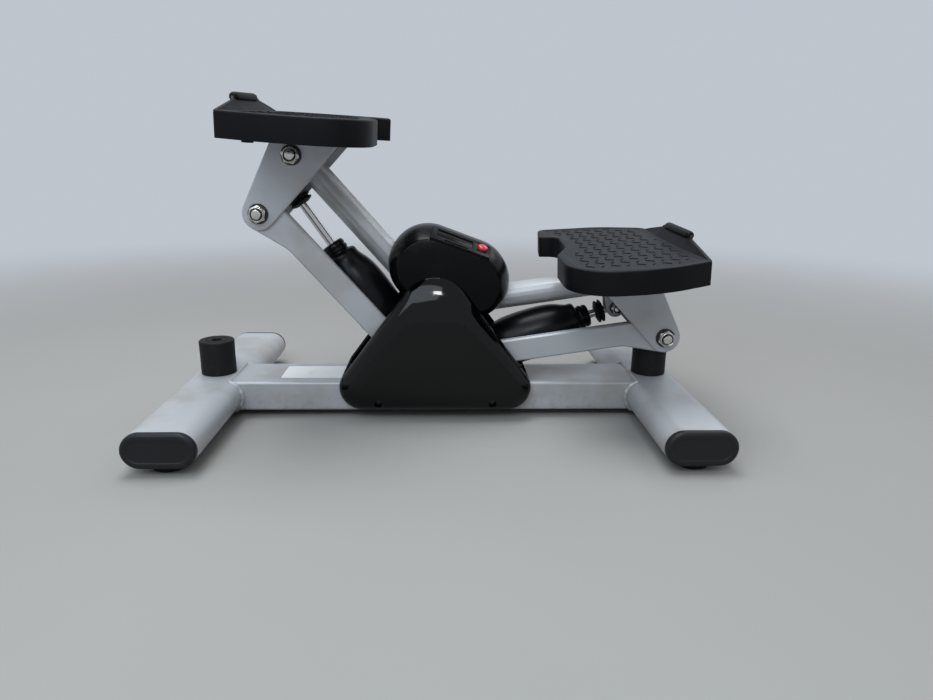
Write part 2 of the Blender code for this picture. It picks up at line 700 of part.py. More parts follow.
def rocker_frame(rocker):
    """The hub, two round arms, a sleeve at each arm's end and two lugs under each arm."""
    half = TOWER_HALF_DEPTH - TOWER_WALL - BUSH_FLANGE - 2 * FIT
    body = rod("rocker_frame", HUB_RADIUS, -half, half, sides=24)
    holes = [rod("hub_bore", BUSH_RADIUS + FIT, -60 * MM, 60 * MM)]
    for word, side in SIDES.items():
        angle = ARM_ANGLE
        arm = arm_tube("arm_" + word, TUBE_RADIUS, 0, ARM_LENGTH, side)
        holes.append(arm_tube("arm_bore", TUBE_RADIUS - TUBE_WALL, 8 * MM, ARM_LENGTH - 22 * MM, side))
        end_x, end_z = side * ARM_LENGTH * cos(angle), ARM_LENGTH * sin(angle)
        join(body, arm, rod("arm_sleeve", TUBE_RADIUS + 0.4 * MM, BRACKET_GAP_FRONT + FIT,
                            BRACKET_GAP_REAR - FIT, end_x, end_z, 24))
        holes.append(rod("arm_pivot_hole", PIVOT_RADIUS + FIT, -60 * MM, 60 * MM, end_x, end_z, 20))
        eye_x, eye_z = rocker_eye(1)
        along = ARM_LENGTH - EYE_SETBACK
        foot_x, foot_z = along * cos(angle), along * sin(angle)
        outline = flipped(belt([(eye_x, eye_z, LUG_RADIUS), (foot_x, foot_z, LUG_RADIUS - 1 * MM)]), side)
        front = RUN_DEPTH - LUG_GAP / 2
        rear = RUN_DEPTH + LUG_GAP / 2
        join(body, slab("lug_front", outline, front - LUG_WALL, front),
             slab("lug_rear", outline, rear, rear + LUG_WALL))
        holes.append(rod("lug_hole", PIN_RADIUS + FIT, -60 * MM, 60 * MM, side * eye_x, eye_z, 16))
    cut(body, *holes)
    part(body, "rocker_frame", SILVER_PAINT, rocker)
    for word, end in ENDS.items():
        bush = turned("hub_bush_" + word, [
            (AXLE_RADIUS + FIT, half + FIT + BUSH_FLANGE), (HUB_RADIUS - 2 * MM, half + FIT + BUSH_FLANGE),
            (HUB_RADIUS - 2 * MM, half + FIT), (BUSH_RADIUS, half + FIT), (BUSH_RADIUS, half - BUSH_LENGTH),
            (AXLE_RADIUS + FIT, half - BUSH_LENGTH)], 20)
        bush.rotation_euler = (-end * pi / 2, 0, 0)
        part(bush, "hub_bush_" + word, NYLON, rocker)
    for word, side in SIDES.items():
        x, z = rocker_eye(side)
        through_bolt("damper_bolt_" + word, PIN_RADIUS, RUN_DEPTH + LUG_GAP / 2 + LUG_WALL,
                     RUN_DEPTH - LUG_GAP / 2 - LUG_WALL, x, z, rocker)


# Console pod

def pod_outline(inset):
    return stadium(0, POD_CENTRE, 2 * (POD_HALF_SPAN + POD_RADIUS), 2 * POD_RADIUS, inset)


def pod_rings(end, inset, depth, back):
    """Rings from the flat face, over the sloping shoulder, to the widest middle."""
    wide = depth - 36 * MM if end < 0 else RUN_DEPTH + 1 * MM
    steps = [(depth, 15.5 * MM), (depth - 1.5 * MM, 13.2 * MM), (depth - 18 * MM, 4.8 * MM), (wide, 0)]
    rings = [at_depth(pod_outline(inset + step), end * y) for y, step in steps]
    rings.append(at_depth(pod_outline(inset), back))
    return rings


def pod_shell(word, end, rocker):
    """Half of the console pod, notched for the arms and open below for the tower."""
    name = "pod_shell_" + word
    shell = loft(name, pod_rings(end, 0, POD_HALF_DEPTH, RUN_DEPTH + end * FIT / 2))
    cut(shell, loft(name + "_hollow", pod_rings(end, POD_WALL, POD_HALF_DEPTH - POD_WALL,
                                                RUN_DEPTH - end * 3 * MM)))
    cut(shell, box(name + "_mouth", (-POD_MOUTH_HALF, -80 * MM, -20 * MM),
                   (POD_MOUTH_HALF, 80 * MM, POD_MOUTH_TOP)),
        rod(name + "_tower_opening", TOWER_HEAD_RADIUS + 4 * MM, -80 * MM, 80 * MM, sides=28))
    for side in SIDES.values():
        cut(shell, arm_tube("arm_notch", TUBE_RADIUS + FIT, 0, ARM_LENGTH, side))
    if end < 0:
        opening = box("console_opening",
                      (-CONSOLE_WIDTH / 2 - FIT, -CONSOLE_LENGTH / 2 - FIT, -CONSOLE_THICKNESS - FIT),
                      (CONSOLE_WIDTH / 2 + FIT, CONSOLE_LENGTH / 2 + FIT, 30 * MM))
        opening.parent = console_frame(rocker, "console_opening_place")
        cut(shell, opening)
    part(shell, name, SATIN_BLACK, rocker)


def console_frame(rocker, name):
    """The computer's own frame: X and Y along its face, Z out of it."""
    return frame(name, (0, CONSOLE_CENTRE_Y, CONSOLE_CENTRE_Z), (CONSOLE_LEAN, 0, 0), rocker)


def console(rocker):
    """The computer, its window and its one button."""
    place = console_frame(rocker, "console_place")
    half_x, half_y = CONSOLE_WIDTH / 2, CONSOLE_LENGTH / 2
    body = box("console_module", (-half_x, -half_y, -CONSOLE_THICKNESS), (half_x, half_y, 0))
    bevel(body, 1 * MM)
    window_low = Vector((-half_x + 7 * MM, -half_y + 10 * MM, -1 * MM))
    window_high = Vector((BUTTON_X - BUTTON_RADIUS - 7 * MM, half_y - 6 * MM, 0))
    gap = Vector((FIT, FIT, FIT))
    cut(body, box("window_pocket", window_low - gap, window_high + gap + Vector((0, 0, 5 * MM))),
        box("finger_slot", (-half_x + 16 * MM, -half_y - 1 * MM, -5 * MM),
            (half_x - 26 * MM, -half_y + 3.5 * MM, -1.6 * MM)),
        rod("button_well", BUTTON_RADIUS + FIT, -BUTTON_DEPTH - 2 * MM, 10 * MM, x=BUTTON_X, axis="Z"))
    part(body, "console_module", SATIN_BLACK, place)
    part(box("console_window", window_low, window_high), "console_window", GLASS, place)
    button = turned("console_button", [(0, BUTTON_PROUD), (BUTTON_RADIUS - 2 * MM, BUTTON_PROUD - 0.3 * MM),
                                       (BUTTON_RADIUS - 0.6 * MM, BUTTON_PROUD - 1.2 * MM),
                                       (BUTTON_RADIUS, BUTTON_PROUD - 2.4 * MM),
                                       (BUTTON_RADIUS, -BUTTON_DEPTH), (0, -BUTTON_DEPTH)], 24)
    button.location = (BUTTON_X, 0, 0)
    part(button, "console_button", RED, place)


# Lower links

def link_outline():
    """The right link along +X from its inner pivot: a bar that widens into a round eye."""
    start = (ARM_LENGTH - LINK_TAPER, LINK_BOTTOM)
    span = hypot(ARM_LENGTH - start[0], start[1])
    tangent = atan2(-start[1], ARM_LENGTH - start[0]) - asin(LINK_EYE_RADIUS / span)
    eye = arc(ARM_LENGTH, 0, LINK_EYE_RADIUS, tangent - pi / 2, pi * 0.92 - tangent)
    shoulder = (ARM_LENGTH - 0.6 * LINK_EYE_RADIUS, LINK_TOP)
    heel = LINK_HEEL_RADIUS
    bar = rounded([shoulder + (0.4 * LINK_EYE_RADIUS,), (-heel, LINK_TOP, 0.5 * heel),
                   (-heel, -0.8 * heel, 0.6 * heel), (0.8 * heel, -0.8 * heel, 0.6 * heel),
                   (2.2 * heel, LINK_BOTTOM, 0.5 * heel), start + (LINK_EYE_RADIUS,), eye[0] + (0,)])
    return bar[:-1] + eye


def lower_link(word, side):
    """A flat bar with a round eye at its outer end and a sleeve at each pivot."""
    x = side * LINK_PIVOT_X
    place = frame("link_axis_" + word, (x, 0, LINK_PIVOT_Z), (0, -side * arm_angle(side), 0))
    body = bevel(slab("lower_link_" + word, flipped(link_outline(), side), LINK_FRONT, LINK_REAR), 2 * MM, 1)
    sleeve_end = TOWER_MIDDLE_FRONT - FIT
    join(body,
         rod("outer_sleeve", SLEEVE_RADIUS, BRACKET_GAP_FRONT + FIT, BRACKET_GAP_REAR - FIT,
             side * ARM_LENGTH, 0),
         rod("inner_sleeve", SLEEVE_RADIUS - 2 * MM, TOWER_WALL - TOWER_HALF_DEPTH + FIT, sleeve_end, 0, 0))
    cut(body, rod("outer_hole", PIVOT_RADIUS + FIT, -60 * MM, 60 * MM, side * ARM_LENGTH, 0, 20),
        rod("inner_hole", PIVOT_RADIUS + FIT, -60 * MM, 60 * MM, 0, 0, 20))
    part(body, "lower_link_" + word, SILVER_PAINT, place)


# Dampers

def boot_profile(inset):
    """Radius and height of the boot's skin: its neck by depth below the top, its belly by height over the foot."""
    neck = [(1.5, 13.0), (3.0, 15.5), (12.5, 15.8), (14.5, 14.6), (17.0, 20.5), (19.5, 22.5)]
    belly = [(122, 23.2), (111, 28.0), (96, 31.4), (79, 33.4), (54, 33.8), (34, 32.6), (18, 28.0), (7, 21.0)]
    scale = BOOT_RADIUS / (33.8 * MM)
    stretch = (BOOT_END - BOOT_NECK - BOOT_START) / (130 * MM)
    steps = [(BOOT_END - depth * MM, radius) for depth, radius in neck]
    steps += [(BOOT_START + height * MM * stretch, radius) for height, radius in belly]
    return [(radius * MM * scale - inset, height) for height, radius in steps]


def damper(word, side, rocker):
    """A cylinder on the tower's pin, its rod on the rocker's bolt, a boot and a bumper."""
    length, angle = damper_line(side)
    place = frame("damper_axis_" + word, (side * DAMPER_PIN_X, RUN_DEPTH, DAMPER_PIN_Z),
                  (0, pi / 2 - angle, 0))
    name = "damper_cylinder_" + word
    outer = [(0, CYLINDER_END), (CYLINDER_RADIUS - 1 * MM, CYLINDER_END),
             (CYLINDER_RADIUS, CYLINDER_END - 1 * MM), (CYLINDER_RADIUS, CYLINDER_START),
             (CYLINDER_RADIUS - 4 * MM, CYLINDER_START - 8 * MM),
             (CYLINDER_RADIUS - 5 * MM, PIN_EYE_RADIUS - 4 * MM), (0, PIN_EYE_RADIUS - 4 * MM)]
    cylinder = turned(name, outer)
    join(cylinder, rod("pin_eye", PIN_EYE_RADIUS, -PIN_EYE_WIDTH / 2, PIN_EYE_WIDTH / 2, 0, 0, 24))
    cut(cylinder, rod("pin_eye_hole", PIN_RADIUS + FIT, -30 * MM, 30 * MM, 0, 0, 20),
        rod("rod_bore", ROD_RADIUS + FIT, CYLINDER_BORE_START, CYLINDER_END + 5 * MM, axis="Z"))
    part(cylinder, name, SATIN_BLACK, place)

    name = "damper_boot_" + word
    skin = boot_profile(0)
    core = CYLINDER_RADIUS + FIT
    lining = [(max(radius, core), height) for radius, height in boot_profile(BOOT_WALL)]
    cap = CYLINDER_END + FIT
    mouth = ROD_RADIUS + 2 * FIT
    profile = [(mouth, BOOT_END), (skin[0][0] - 1 * MM, BOOT_END), *skin, (core + BOOT_WALL, BOOT_START),
               (core, BOOT_START)]
    profile += [(radius, height) for radius, height in lining[::-2] if radius > core]
    profile += [(core, cap), (mouth, cap)]
    boot = turned(name, profile, 22)
    part(boot, name, GLOSS_BLACK, place)

    name = "damper_rod_" + word
    foot = length - ROD_LENGTH
    body = turned(name, [(0, length - 2 * MM), (ROD_RADIUS, length - 2 * MM), (ROD_RADIUS, foot + 1 * MM),
                         (ROD_RADIUS - 1 * MM, foot), (0, foot)], 24)
    join(body, rod("rod_eye", ROD_EYE_RADIUS, -ROD_EYE_WIDTH / 2, ROD_EYE_WIDTH / 2, 0, length, 28))
    cut(body, rod("rod_eye_hole", PIN_RADIUS + ROD_EYE_CLEARANCE, -30 * MM, 30 * MM, 0, length, 24))
    part(body, name, CHROME, place)

    name = "damper_bumper_" + word
    top = length - BUMPER_REACH + BUMPER_LENGTH / 2
    bottom = top - BUMPER_LENGTH
    middle = (top + bottom) / 2
    bore = ROD_RADIUS + FIT
    bumper = turned(name, [(bore, top), (9 * MM, top), (BUMPER_RADIUS, middle + 2.5 * MM),
                           (BUMPER_RADIUS, middle - 2.5 * MM), (9 * MM, bottom), (bore, bottom)], 20)
    part(bumper, name, RUBBER, place)


# Pedals

def pedal_outline(inset=0.0):
    """Plan of the right pedal about its own origin: outer side at +X, far end at +Y."""
    plan = [(-0.53, -0.557, 0.25), (0.118, -0.53, 0.88), (0.47, -0.437, 0.024), (0.412, 0.357, 0.12),
            (0.047, 0.447, 0.53), (-0.488, 0.437, 0.08), (-0.524, 0.237, 0.024), (-0.376, 0.215, 0.106),
            (-0.385, -0.027, 0.176), (-0.537, -0.165, 0.153)]
    outline = rounded([(x * PEDAL_WIDTH, y * PEDAL_LENGTH, radius * PEDAL_WIDTH) for x, y, radius in plan])
    return offset(outline, inset) if inset else outline


def offset(outline, inset):
    """The outline moved inwards by one wall, corner by corner."""
    moved = []
    for k, point in enumerate(outline):
        here = Vector(point)
        before = (here - Vector(outline[k - 1])).normalized()
        after = (Vector(outline[(k + 1) % len(outline)]) - here).normalized()
        normal = (Vector((-before.y, before.x)) + Vector((-after.y, after.x))).normalized()
        spread = max(normal.dot(Vector((-before.y, before.x))), 0.4)
        moved.append(tuple(here + normal * inset / spread))
    return moved


def inside(point, outline):
    """Whether a point lies inside an outline."""
    x, y = point
    within = False
    for (ax, ay), (bx, by) in zip(outline, outline[1:] + outline[:1]):
        if (ay > y) != (by > y) and x < ax + (bx - ax) * (y - ay) / (by - ay):
            within = not within
    return within


def tread_bars(border):
    """Centres, lengths and headings of the tread's raised bars inside the border."""
    bars = []
    for row in range(-9, 10):
        for column in range(-6, 7):
            slanted = (row + column) % 2 == 0
            heading = radians(-35 if slanted else 60)
            length = TREAD_LONG if slanted else TREAD_SHORT
            centre = Vector((column * TREAD_PITCH * 0.9, row * TREAD_PITCH))
            reach = Vector((cos(heading), sin(heading))) * length / 2
            if all(inside(centre + reach * end, border) for end in (-1, 0, 1)):
                bars.append((centre, length, heading))
    return bars


def outer_edge(y):
    """Half width of the pedal's outer side at a distance along the pedal."""
    near, far = (0.47, -0.437), (0.412, 0.357)
    share = (y / PEDAL_LENGTH - near[1]) / (far[1] - near[1])
    return PEDAL_WIDTH * (near[0] + (far[0] - near[0]) * share)


def guard_wall(side):
    """A thin wall that rises from the pedal's outer edge and leans outwards."""
    low = -DECK_THICKNESS / 2
    rings = []
    for share, rise in ((-0.43, 0.04), (GUARD_START, 0.62), (GUARD_START + 0.008, 0.85),
                        (GUARD_END - 0.008, 0.85), (GUARD_END, 0.7), (0.315, 0.04)):
        y = share * PEDAL_LENGTH
        foot = outer_edge(y) - PEDAL_WALL / 2
        head = foot + GUARD_FLARE * rise
        ring = [(foot, low), (head, GUARD_HEIGHT * rise), (head - GUARD_WALL, GUARD_HEIGHT * rise),
                (foot - GUARD_WALL, low)]
        rings.append([(side * x, y, z) for x, z in ring])
    return loft("guard_wall", rings)


def guard_roll(side):
    """The thick rounded roll along the top of the guard."""
    rings = []
    for share, size in ((GUARD_START - 0.006, 0.55), (GUARD_START + 0.004, 1), (GUARD_END - 0.004, 1),
                        (GUARD_END + 0.006, 0.55)):
        y = share * PEDAL_LENGTH
        x = outer_edge(y) - PEDAL_WALL / 2 + GUARD_FLARE * 0.85 - GUARD_WALL / 2
        rings.append(at_depth([(side * px, pz) for px, pz in
                               circle(x, GUARD_HEIGHT - GUARD_ROLL, GUARD_ROLL * size, 12)], y))
    return loft("guard_roll", rings)


def pedal(word, side, deck):
    """The moulded pedal: deck, skirt, ribs below, raised tread and side guard."""
    name = "pedal_" + word
    body = slab(name, flipped(pedal_outline(), side), -PEDAL_SKIRT, 0, axis="Z")
    bevel(body, 2 * MM)
    hollow = slab(name + "_hollow", flipped(pedal_outline(PEDAL_WALL), side), -PEDAL_SKIRT - 5 * MM,
                  -DECK_THICKNESS, axis="Z")
    rib_low = -DECK_THICKNESS - RIB_DEPTH
    for x in (-PEDAL_WIDTH / 6, PEDAL_WIDTH / 6):
        cut(hollow, box("rib", (x - RIB_THICKNESS / 2, -200 * MM, rib_low),
                        (x + RIB_THICKNESS / 2, 200 * MM, 10 * MM)))
    for y in (-0.3 * PEDAL_LENGTH, -0.1 * PEDAL_LENGTH, 0.1 * PEDAL_LENGTH, 0.3 * PEDAL_LENGTH):
        cut(hollow, box("rib", (-200 * MM, y - RIB_THICKNESS / 2, rib_low),
                        (200 * MM, y + RIB_THICKNESS / 2, 10 * MM)))
    hollow.parent = deck
    for modifier in hollow.modifiers:
        modifier.object.parent = deck
    cut(body, hollow)
    join(body, guard_wall(side), guard_roll(side))
    for centre, length, heading in tread_bars(pedal_outline(TREAD_BORDER)):
        bar = box("tread_bar", (-length / 2, -TREAD_WIDTH / 2, -0.5 * MM),
                  (length / 2, TREAD_WIDTH / 2, TREAD_HEIGHT))
        bar.rotation_euler = (0, 0, side * heading)
        bar.location += Vector((side * centre.x, centre.y, 0))
        join(body, bar)
    part(body, name, CHARCOAL, deck)


def pedal_bracket(word, side, axis, deck):
    """A folded channel: two side plates and an outer web, under a flange for the pedal."""
    name = "pedal_bracket_" + word
    eye_x, eye_z = LOWER_EYE
    radius = BRACKET_EYE_RADIUS
    top_outer = (eye_x - BRACKET_OUTER_RUN, eye_z + BRACKET_TOP, 0)
    top_inner = (eye_x - BRACKET_INNER_RUN, eye_z + BRACKET_TOP, 0)
    outline = belt([(eye_x, eye_z, radius), top_outer, top_inner])
    body = bevel(slab(name, flipped(outline, side), BRACKET_FRONT, BRACKET_REAR), 2 * MM)
    slope = (atan2(BRACKET_TOP, -BRACKET_OUTER_RUN)
             - acos(radius / hypot(BRACKET_TOP, BRACKET_OUTER_RUN)))
    normal = Vector((cos(slope), sin(slope)))
    along = Vector((-normal.y, normal.x))
    web = Vector((eye_x, eye_z)) + normal * (radius - BRACKET_WALL)
    low, high = web - along * 60 * MM, web + along * 150 * MM
    hollow = [tuple(low), tuple(high), (high.x - 250 * MM, high.y), (low.x - 250 * MM, low.y)]
    cut(body, slab("bracket_hollow", flipped(hollow, side), BRACKET_GAP_FRONT, BRACKET_GAP_REAR),
        rod("link_clearance", LINK_EYE_RADIUS + 7 * MM, BRACKET_GAP_FRONT + 0.05 * MM, BRACKET_GAP_REAR - 0.05 * MM,
            side * eye_x, eye_z, 32))
    flange_top = -DECK_THICKNESS - RIB_DEPTH - FIT
    trim = box("bracket_trim", (-300 * MM, -300 * MM, flange_top - FLANGE_THICKNESS / 2),
               (300 * MM, 300 * MM, 300 * MM))
    trim.parent = deck
    reach = sorted((-side * FLANGE_REACH, side * 1.13 * FLANGE_REACH))
    flange = box("bracket_flange", (reach[0], -FLANGE_HALF_LENGTH, flange_top - FLANGE_THICKNESS),
                 (reach[1], FLANGE_HALF_LENGTH, flange_top))
    bevel(flange, 1 * MM)
    flange.parent = deck
    cut(body, trim)
    join(body, flange)
    for x, z in ((0, 0), (side * eye_x, eye_z)):
        cut(body, rod("pivot_hole", PIVOT_RADIUS + FIT, -90 * MM, 90 * MM, x, z, 20))
    part(body, name, SILVER_PAINT, axis)


def foot_side(word, side):
    """One pedal with its bracket and the two pivot bolts."""
    x, z = upper_pivot(side)
    axis = frame("pedal_axis_" + word, (x, 0, z))
    deck = frame("pedal_deck_" + word, (-side * PEDAL_OFFSET, 0, PEDAL_RISE),
                 (PEDAL_PITCH, -side * PEDAL_CANT, 0), axis)
    pedal_bracket(word, side, axis, deck)
    pedal(word, side, deck)
    through_bolt("upper_pivot_bolt_" + word, PIVOT_RADIUS, BRACKET_REAR, BRACKET_FRONT, 0, 0, axis)
    through_bolt("lower_pivot_bolt_" + word, PIVOT_RADIUS, BRACKET_REAR, BRACKET_FRONT,
                 side * LOWER_EYE[0], LOWER_EYE[1], axis)


main_beam()
tower_bracket()
tower_fasteners()
for end_word, end in ENDS.items():
    tower_cover(end_word, end)
for word, side in SIDES.items():
    cross_tube(word, side)
    bump_stop(word, side)
    for end_word, end in ENDS.items():
        end_cap(word, side, end_word, end)
        foot_pad(word, side, end_word, end)
        cover_screw(word, side, end_word, end)

rocker = frame("rocker_axis", (0, 0, AXLE_HEIGHT), (0, SWING, 0))
rocker_frame(rocker)
for end_word, end in ENDS.items():
    pod_shell(end_word, end, rocker)
console(rocker)
for word, side in SIDES.items():
    lower_link(word, side)
    damper(word, side, rocker)
    foot_side(word, side)
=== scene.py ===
"""Looks of the side stepper: finishes for every surface, and the pieces that its solids leave plain."""
import json
from math import acos, asin, atan2, ceil, cos, hypot, pi, radians, sin, tan

import bmesh
import bpy
from mathutils import Matrix, Vector

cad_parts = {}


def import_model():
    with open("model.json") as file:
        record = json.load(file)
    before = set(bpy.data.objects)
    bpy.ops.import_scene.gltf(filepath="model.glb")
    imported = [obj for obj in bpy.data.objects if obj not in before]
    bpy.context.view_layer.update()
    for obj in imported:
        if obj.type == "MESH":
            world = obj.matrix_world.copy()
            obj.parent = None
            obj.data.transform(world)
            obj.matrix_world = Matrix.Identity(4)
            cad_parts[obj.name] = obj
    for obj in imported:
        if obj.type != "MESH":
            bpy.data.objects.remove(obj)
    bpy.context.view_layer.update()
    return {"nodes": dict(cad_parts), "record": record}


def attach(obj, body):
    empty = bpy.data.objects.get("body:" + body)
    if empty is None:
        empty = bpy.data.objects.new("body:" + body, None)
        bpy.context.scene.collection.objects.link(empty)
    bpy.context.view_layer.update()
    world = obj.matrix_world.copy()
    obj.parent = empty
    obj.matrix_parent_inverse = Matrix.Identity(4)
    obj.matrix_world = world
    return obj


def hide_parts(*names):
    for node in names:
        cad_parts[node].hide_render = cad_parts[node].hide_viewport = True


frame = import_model()


def shift(x=0.0, y=0.0, z=0.0):
    return Matrix.Translation((x, y, z))


def spun(angle, axis):
    return Matrix.Rotation(angle, 4, axis)


MM = 0.001
TINY = 0.001 * MM
FAR = 9
SIDES = {"left": -1, "right": 1}
ENDS = {"front": -1, "rear": 1}
FACING = {"front": spun(pi / 2, "X"), "rear": spun(pi, "Z") @ spun(pi / 2, "X")}
SCENE = bpy.context.scene

# Places and sizes that the pieces share, all as in the solids
SWING = radians(20)
ARM_ANGLE = radians(28.5)
ARM_LENGTH = 256 * MM
RUN_DEPTH = 11 * MM
RUN = Vector((0, RUN_DEPTH, 0))
AXLE = Vector((0, 0, 139.5 * MM))
ROCKER = shift(*AXLE) @ spun(SWING, "Y")
LINK_PIVOT_X = 43.5 * MM
LINK_PIVOT_Z = 70.5 * MM
PIVOT_RISE = 69 * MM
EYE_SETBACK = 19 * MM
EYE_DROP = 36 * MM
STOP_OVERHANG = 6.7 * MM
STOP_DROP = 13.3 * MM
CROSS_X = LINK_PIVOT_X + ARM_LENGTH * cos(ARM_ANGLE - SWING) - STOP_OVERHANG
STOP_TOP = LINK_PIVOT_Z + ARM_LENGTH * sin(ARM_ANGLE - SWING) - STOP_DROP
PARTING = 0.15 * MM


# Shader expressions

class Wire:
    """A node's output that makes Math nodes when it is used in arithmetic."""

    def __init__(self, finish, socket):
        self.finish = finish
        self.socket = socket

    def math(self, operation, *values):
        return self.finish.node("ShaderNodeMath", {"operation": operation}, dict(enumerate(values)))

    def __add__(self, other):
        return self.math("ADD", self, other)

    def __sub__(self, other):
        return self.math("SUBTRACT", self, other)

    def __rsub__(self, other):
        return self.math("SUBTRACT", other, self)

    def __mul__(self, other):
        return self.math("MULTIPLY", self, other)

    __radd__ = __add__
    __rmul__ = __mul__

    def between(self, low, high):
        """Zero below low, one above high, and smooth in between."""
        return self.finish.node("ShaderNodeMapRange", {"interpolation_type": "SMOOTHSTEP"},
                                {"Value": self, "From Min": low, "From Max": high})


class Finish:
    """One material, written as expressions that feed its shader."""

    def __init__(self, name, **shader):
        self.material = bpy.data.materials.new(name + "_finish")
        self.material.use_nodes = True
        self.tree = self.material.node_tree
        self.shader = self.tree.nodes["Principled BSDF"]
        self.coords = self.node("ShaderNodeTexCoord", output="Object")
        for socket, value in shader.items():
            self.feed(self.shader.inputs[socket.replace("_", " ")], value)

    def feed(self, socket, value):
        if isinstance(value, Wire):
            self.tree.links.new(value.socket, socket)
        elif isinstance(value, tuple) and len(value) == 3 and len(socket.default_value) == 4:
            socket.default_value = (*value, 1)
        else:
            socket.default_value = value

    def node(self, kind, settings=None, inputs=None, output=0):
        """Add a node, set it up, feed its sockets and return one of its outputs."""
        made = self.tree.nodes.new(kind)
        for name, value in (settings or {}).items():
            setattr(made, name, value)
        for name, value in (inputs or {}).items():
            self.feed(made.inputs[name], value)
        return Wire(self, made.outputs[output])

    def noise(self, per_metre, detail=3.0, roughness=0.55, stretch=(1, 1, 1)):
        """Even noise of so many lumps a metre, from 0 to 1."""
        place = self.node("ShaderNodeMapping", inputs={"Vector": self.coords, "Scale": stretch})
        return self.node("ShaderNodeTexNoise", inputs={
            "Vector": place, "Scale": per_metre, "Detail": detail, "Roughness": roughness})

    def cells(self, per_metre):
        """Round cells, so many a metre, dark in their middles."""
        return self.node("ShaderNodeTexVoronoi", inputs={"Vector": self.coords, "Scale": per_metre})

    def blend(self, amount, low, high):
        """A colour between two colours."""
        return self.node("ShaderNodeMix", {"data_type": "RGBA"}, {0: amount, 6: low, 7: high}, output=2)

    def height(self):
        """How high a point stands above the floor, in metres."""
        return self.node("ShaderNodeSeparateXYZ", inputs={0: self.coords}, output=2)

    def upward(self):
        """One on faces that look up, zero on the others."""
        normal = self.node("ShaderNodeNewGeometry", output="Normal")
        return self.node("ShaderNodeSeparateXYZ", inputs={0: normal}, output=2).between(0.5, 0.95)

    def done(self, colour, roughness, *relief):
        """Feed the shader, also with any relief of (height, its depth in metres, strength)."""
        self.feed(self.shader.inputs["Base Color"], colour)
        self.feed(self.shader.inputs["Roughness"], roughness)
        if relief:
            bump = dict(zip(("Height", "Distance", "Strength"), relief))
            self.feed(self.shader.inputs["Normal"], self.node("ShaderNodeBump", inputs=bump))
        return self.material


def silver_paint():
    """Silver paint with fine flake, a slight orange peel, scuffs, and grime in the low places."""
    paint = Finish("silver_paint", Metallic=0.25, Coat_Weight=0.12, Coat_Roughness=0.3,
                   Specular_IOR_Level=0.4)
    flake = paint.noise(5200, 1.0)
    cloud = paint.noise(9, 4.0)
    scuff = paint.noise(260, 6.0, 0.7, (1, 1, 3)).between(0.66, 0.74)
    scuff = scuff * paint.noise(16, 2.0).between(0.52, 0.66)
    chip = paint.noise(170, 4.0, 0.6).between(0.72, 0.74) * paint.noise(21, 2.0).between(0.55, 0.62)
    grime = (1 - paint.height().between(0.008, 0.05)) * paint.noise(120, 5.0, 0.7).between(0.45, 0.7)
    dust = paint.upward() * paint.noise(34, 5.0, 0.7).between(0.4, 0.75)
    shade = paint.blend(flake.between(0.3, 0.7), (0.42, 0.44, 0.465), (0.50, 0.52, 0.545))
    shade = paint.blend(cloud.between(0.3, 0.75) * 0.3, shade, (0.40, 0.42, 0.45))
    shade = paint.blend(dust * 0.22, shade, (0.46, 0.44, 0.41))
    shade = paint.blend(paint.noise(13).between(0.45, 0.68) * 0.5, shade, (0.31, 0.295, 0.265))
    shade = paint.blend(scuff * 0.45, shade, (0.24, 0.235, 0.23))
    shade = paint.blend(chip * 0.7, shade, (0.09, 0.085, 0.08))
    shade = paint.blend(grime * 0.4, shade, (0.19, 0.175, 0.15))
    roughness = flake * 0.08 + scuff * 0.2 + cloud * 0.08 + dust * 0.1 + 0.36
    return paint.done(shade, roughness, paint.noise(420, 2.0) + flake * 0.3, 0.0001, 0.3)


def gloss_black():
    """Polished black moulding with hairline scratches and a little dust near the floor."""
    gloss = Finish("gloss_black", Specular_IOR_Level=0.3)
    hairline = gloss.noise(90, 8.0, 0.75, (1, 1, 9)).between(0.63, 0.66)
    dust = gloss.noise(1500, 2.0).between(0.62, 0.75) * (1 - gloss.height().between(0.015, 0.13))
    shade = gloss.blend(dust * 0.16 + hairline * 0.015, (0.0009, 0.0009, 0.0010), (0.13, 0.12, 0.11))
    roughness = gloss.noise(12) * 0.04 + hairline * 0.08 + dust * 0.3 + 0.05
    return gloss.done(shade, roughness, gloss.noise(26, 2.0), 0.0004, 0.10)


def boot_black():
    """The softer black of the boots, a little blue, dulled by handling."""
    moulding = Finish("boot_black", Specular_IOR_Level=0.16)
    haze = moulding.noise(38, 4.0, 0.6)
    speck = moulding.noise(1300, 2.0).between(0.64, 0.74)
    shade = moulding.blend(speck * 0.12 + haze * 0.06, (0.0012, 0.0013, 0.0022), (0.07, 0.07, 0.08))
    return moulding.done(shade, haze * 0.14 + speck * 0.2 + 0.24, moulding.noise(1700, 2.0), 0.00003, 0.3)


def satin_black():
    """Black moulding with a fine spark-eroded grain."""
    satin = Finish("satin_black", Specular_IOR_Level=0.12)
    grain = satin.noise(1900, 2.0)
    wear = satin.noise(24, 5.0, 0.65).between(0.5, 0.75)
    dust = satin.upward() * satin.noise(900, 4.0, 0.7).between(0.55, 0.75)
    shade = satin.blend(wear * 0.3, (0.0016, 0.0017, 0.0021), (0.0045, 0.0046, 0.005))
    shade = satin.blend(dust * 0.12, shade, (0.10, 0.10, 0.10))
    return satin.done(shade, grain * 0.10 + wear * 0.08 + dust * 0.2 + 0.20, grain, 0.00005, 0.3)


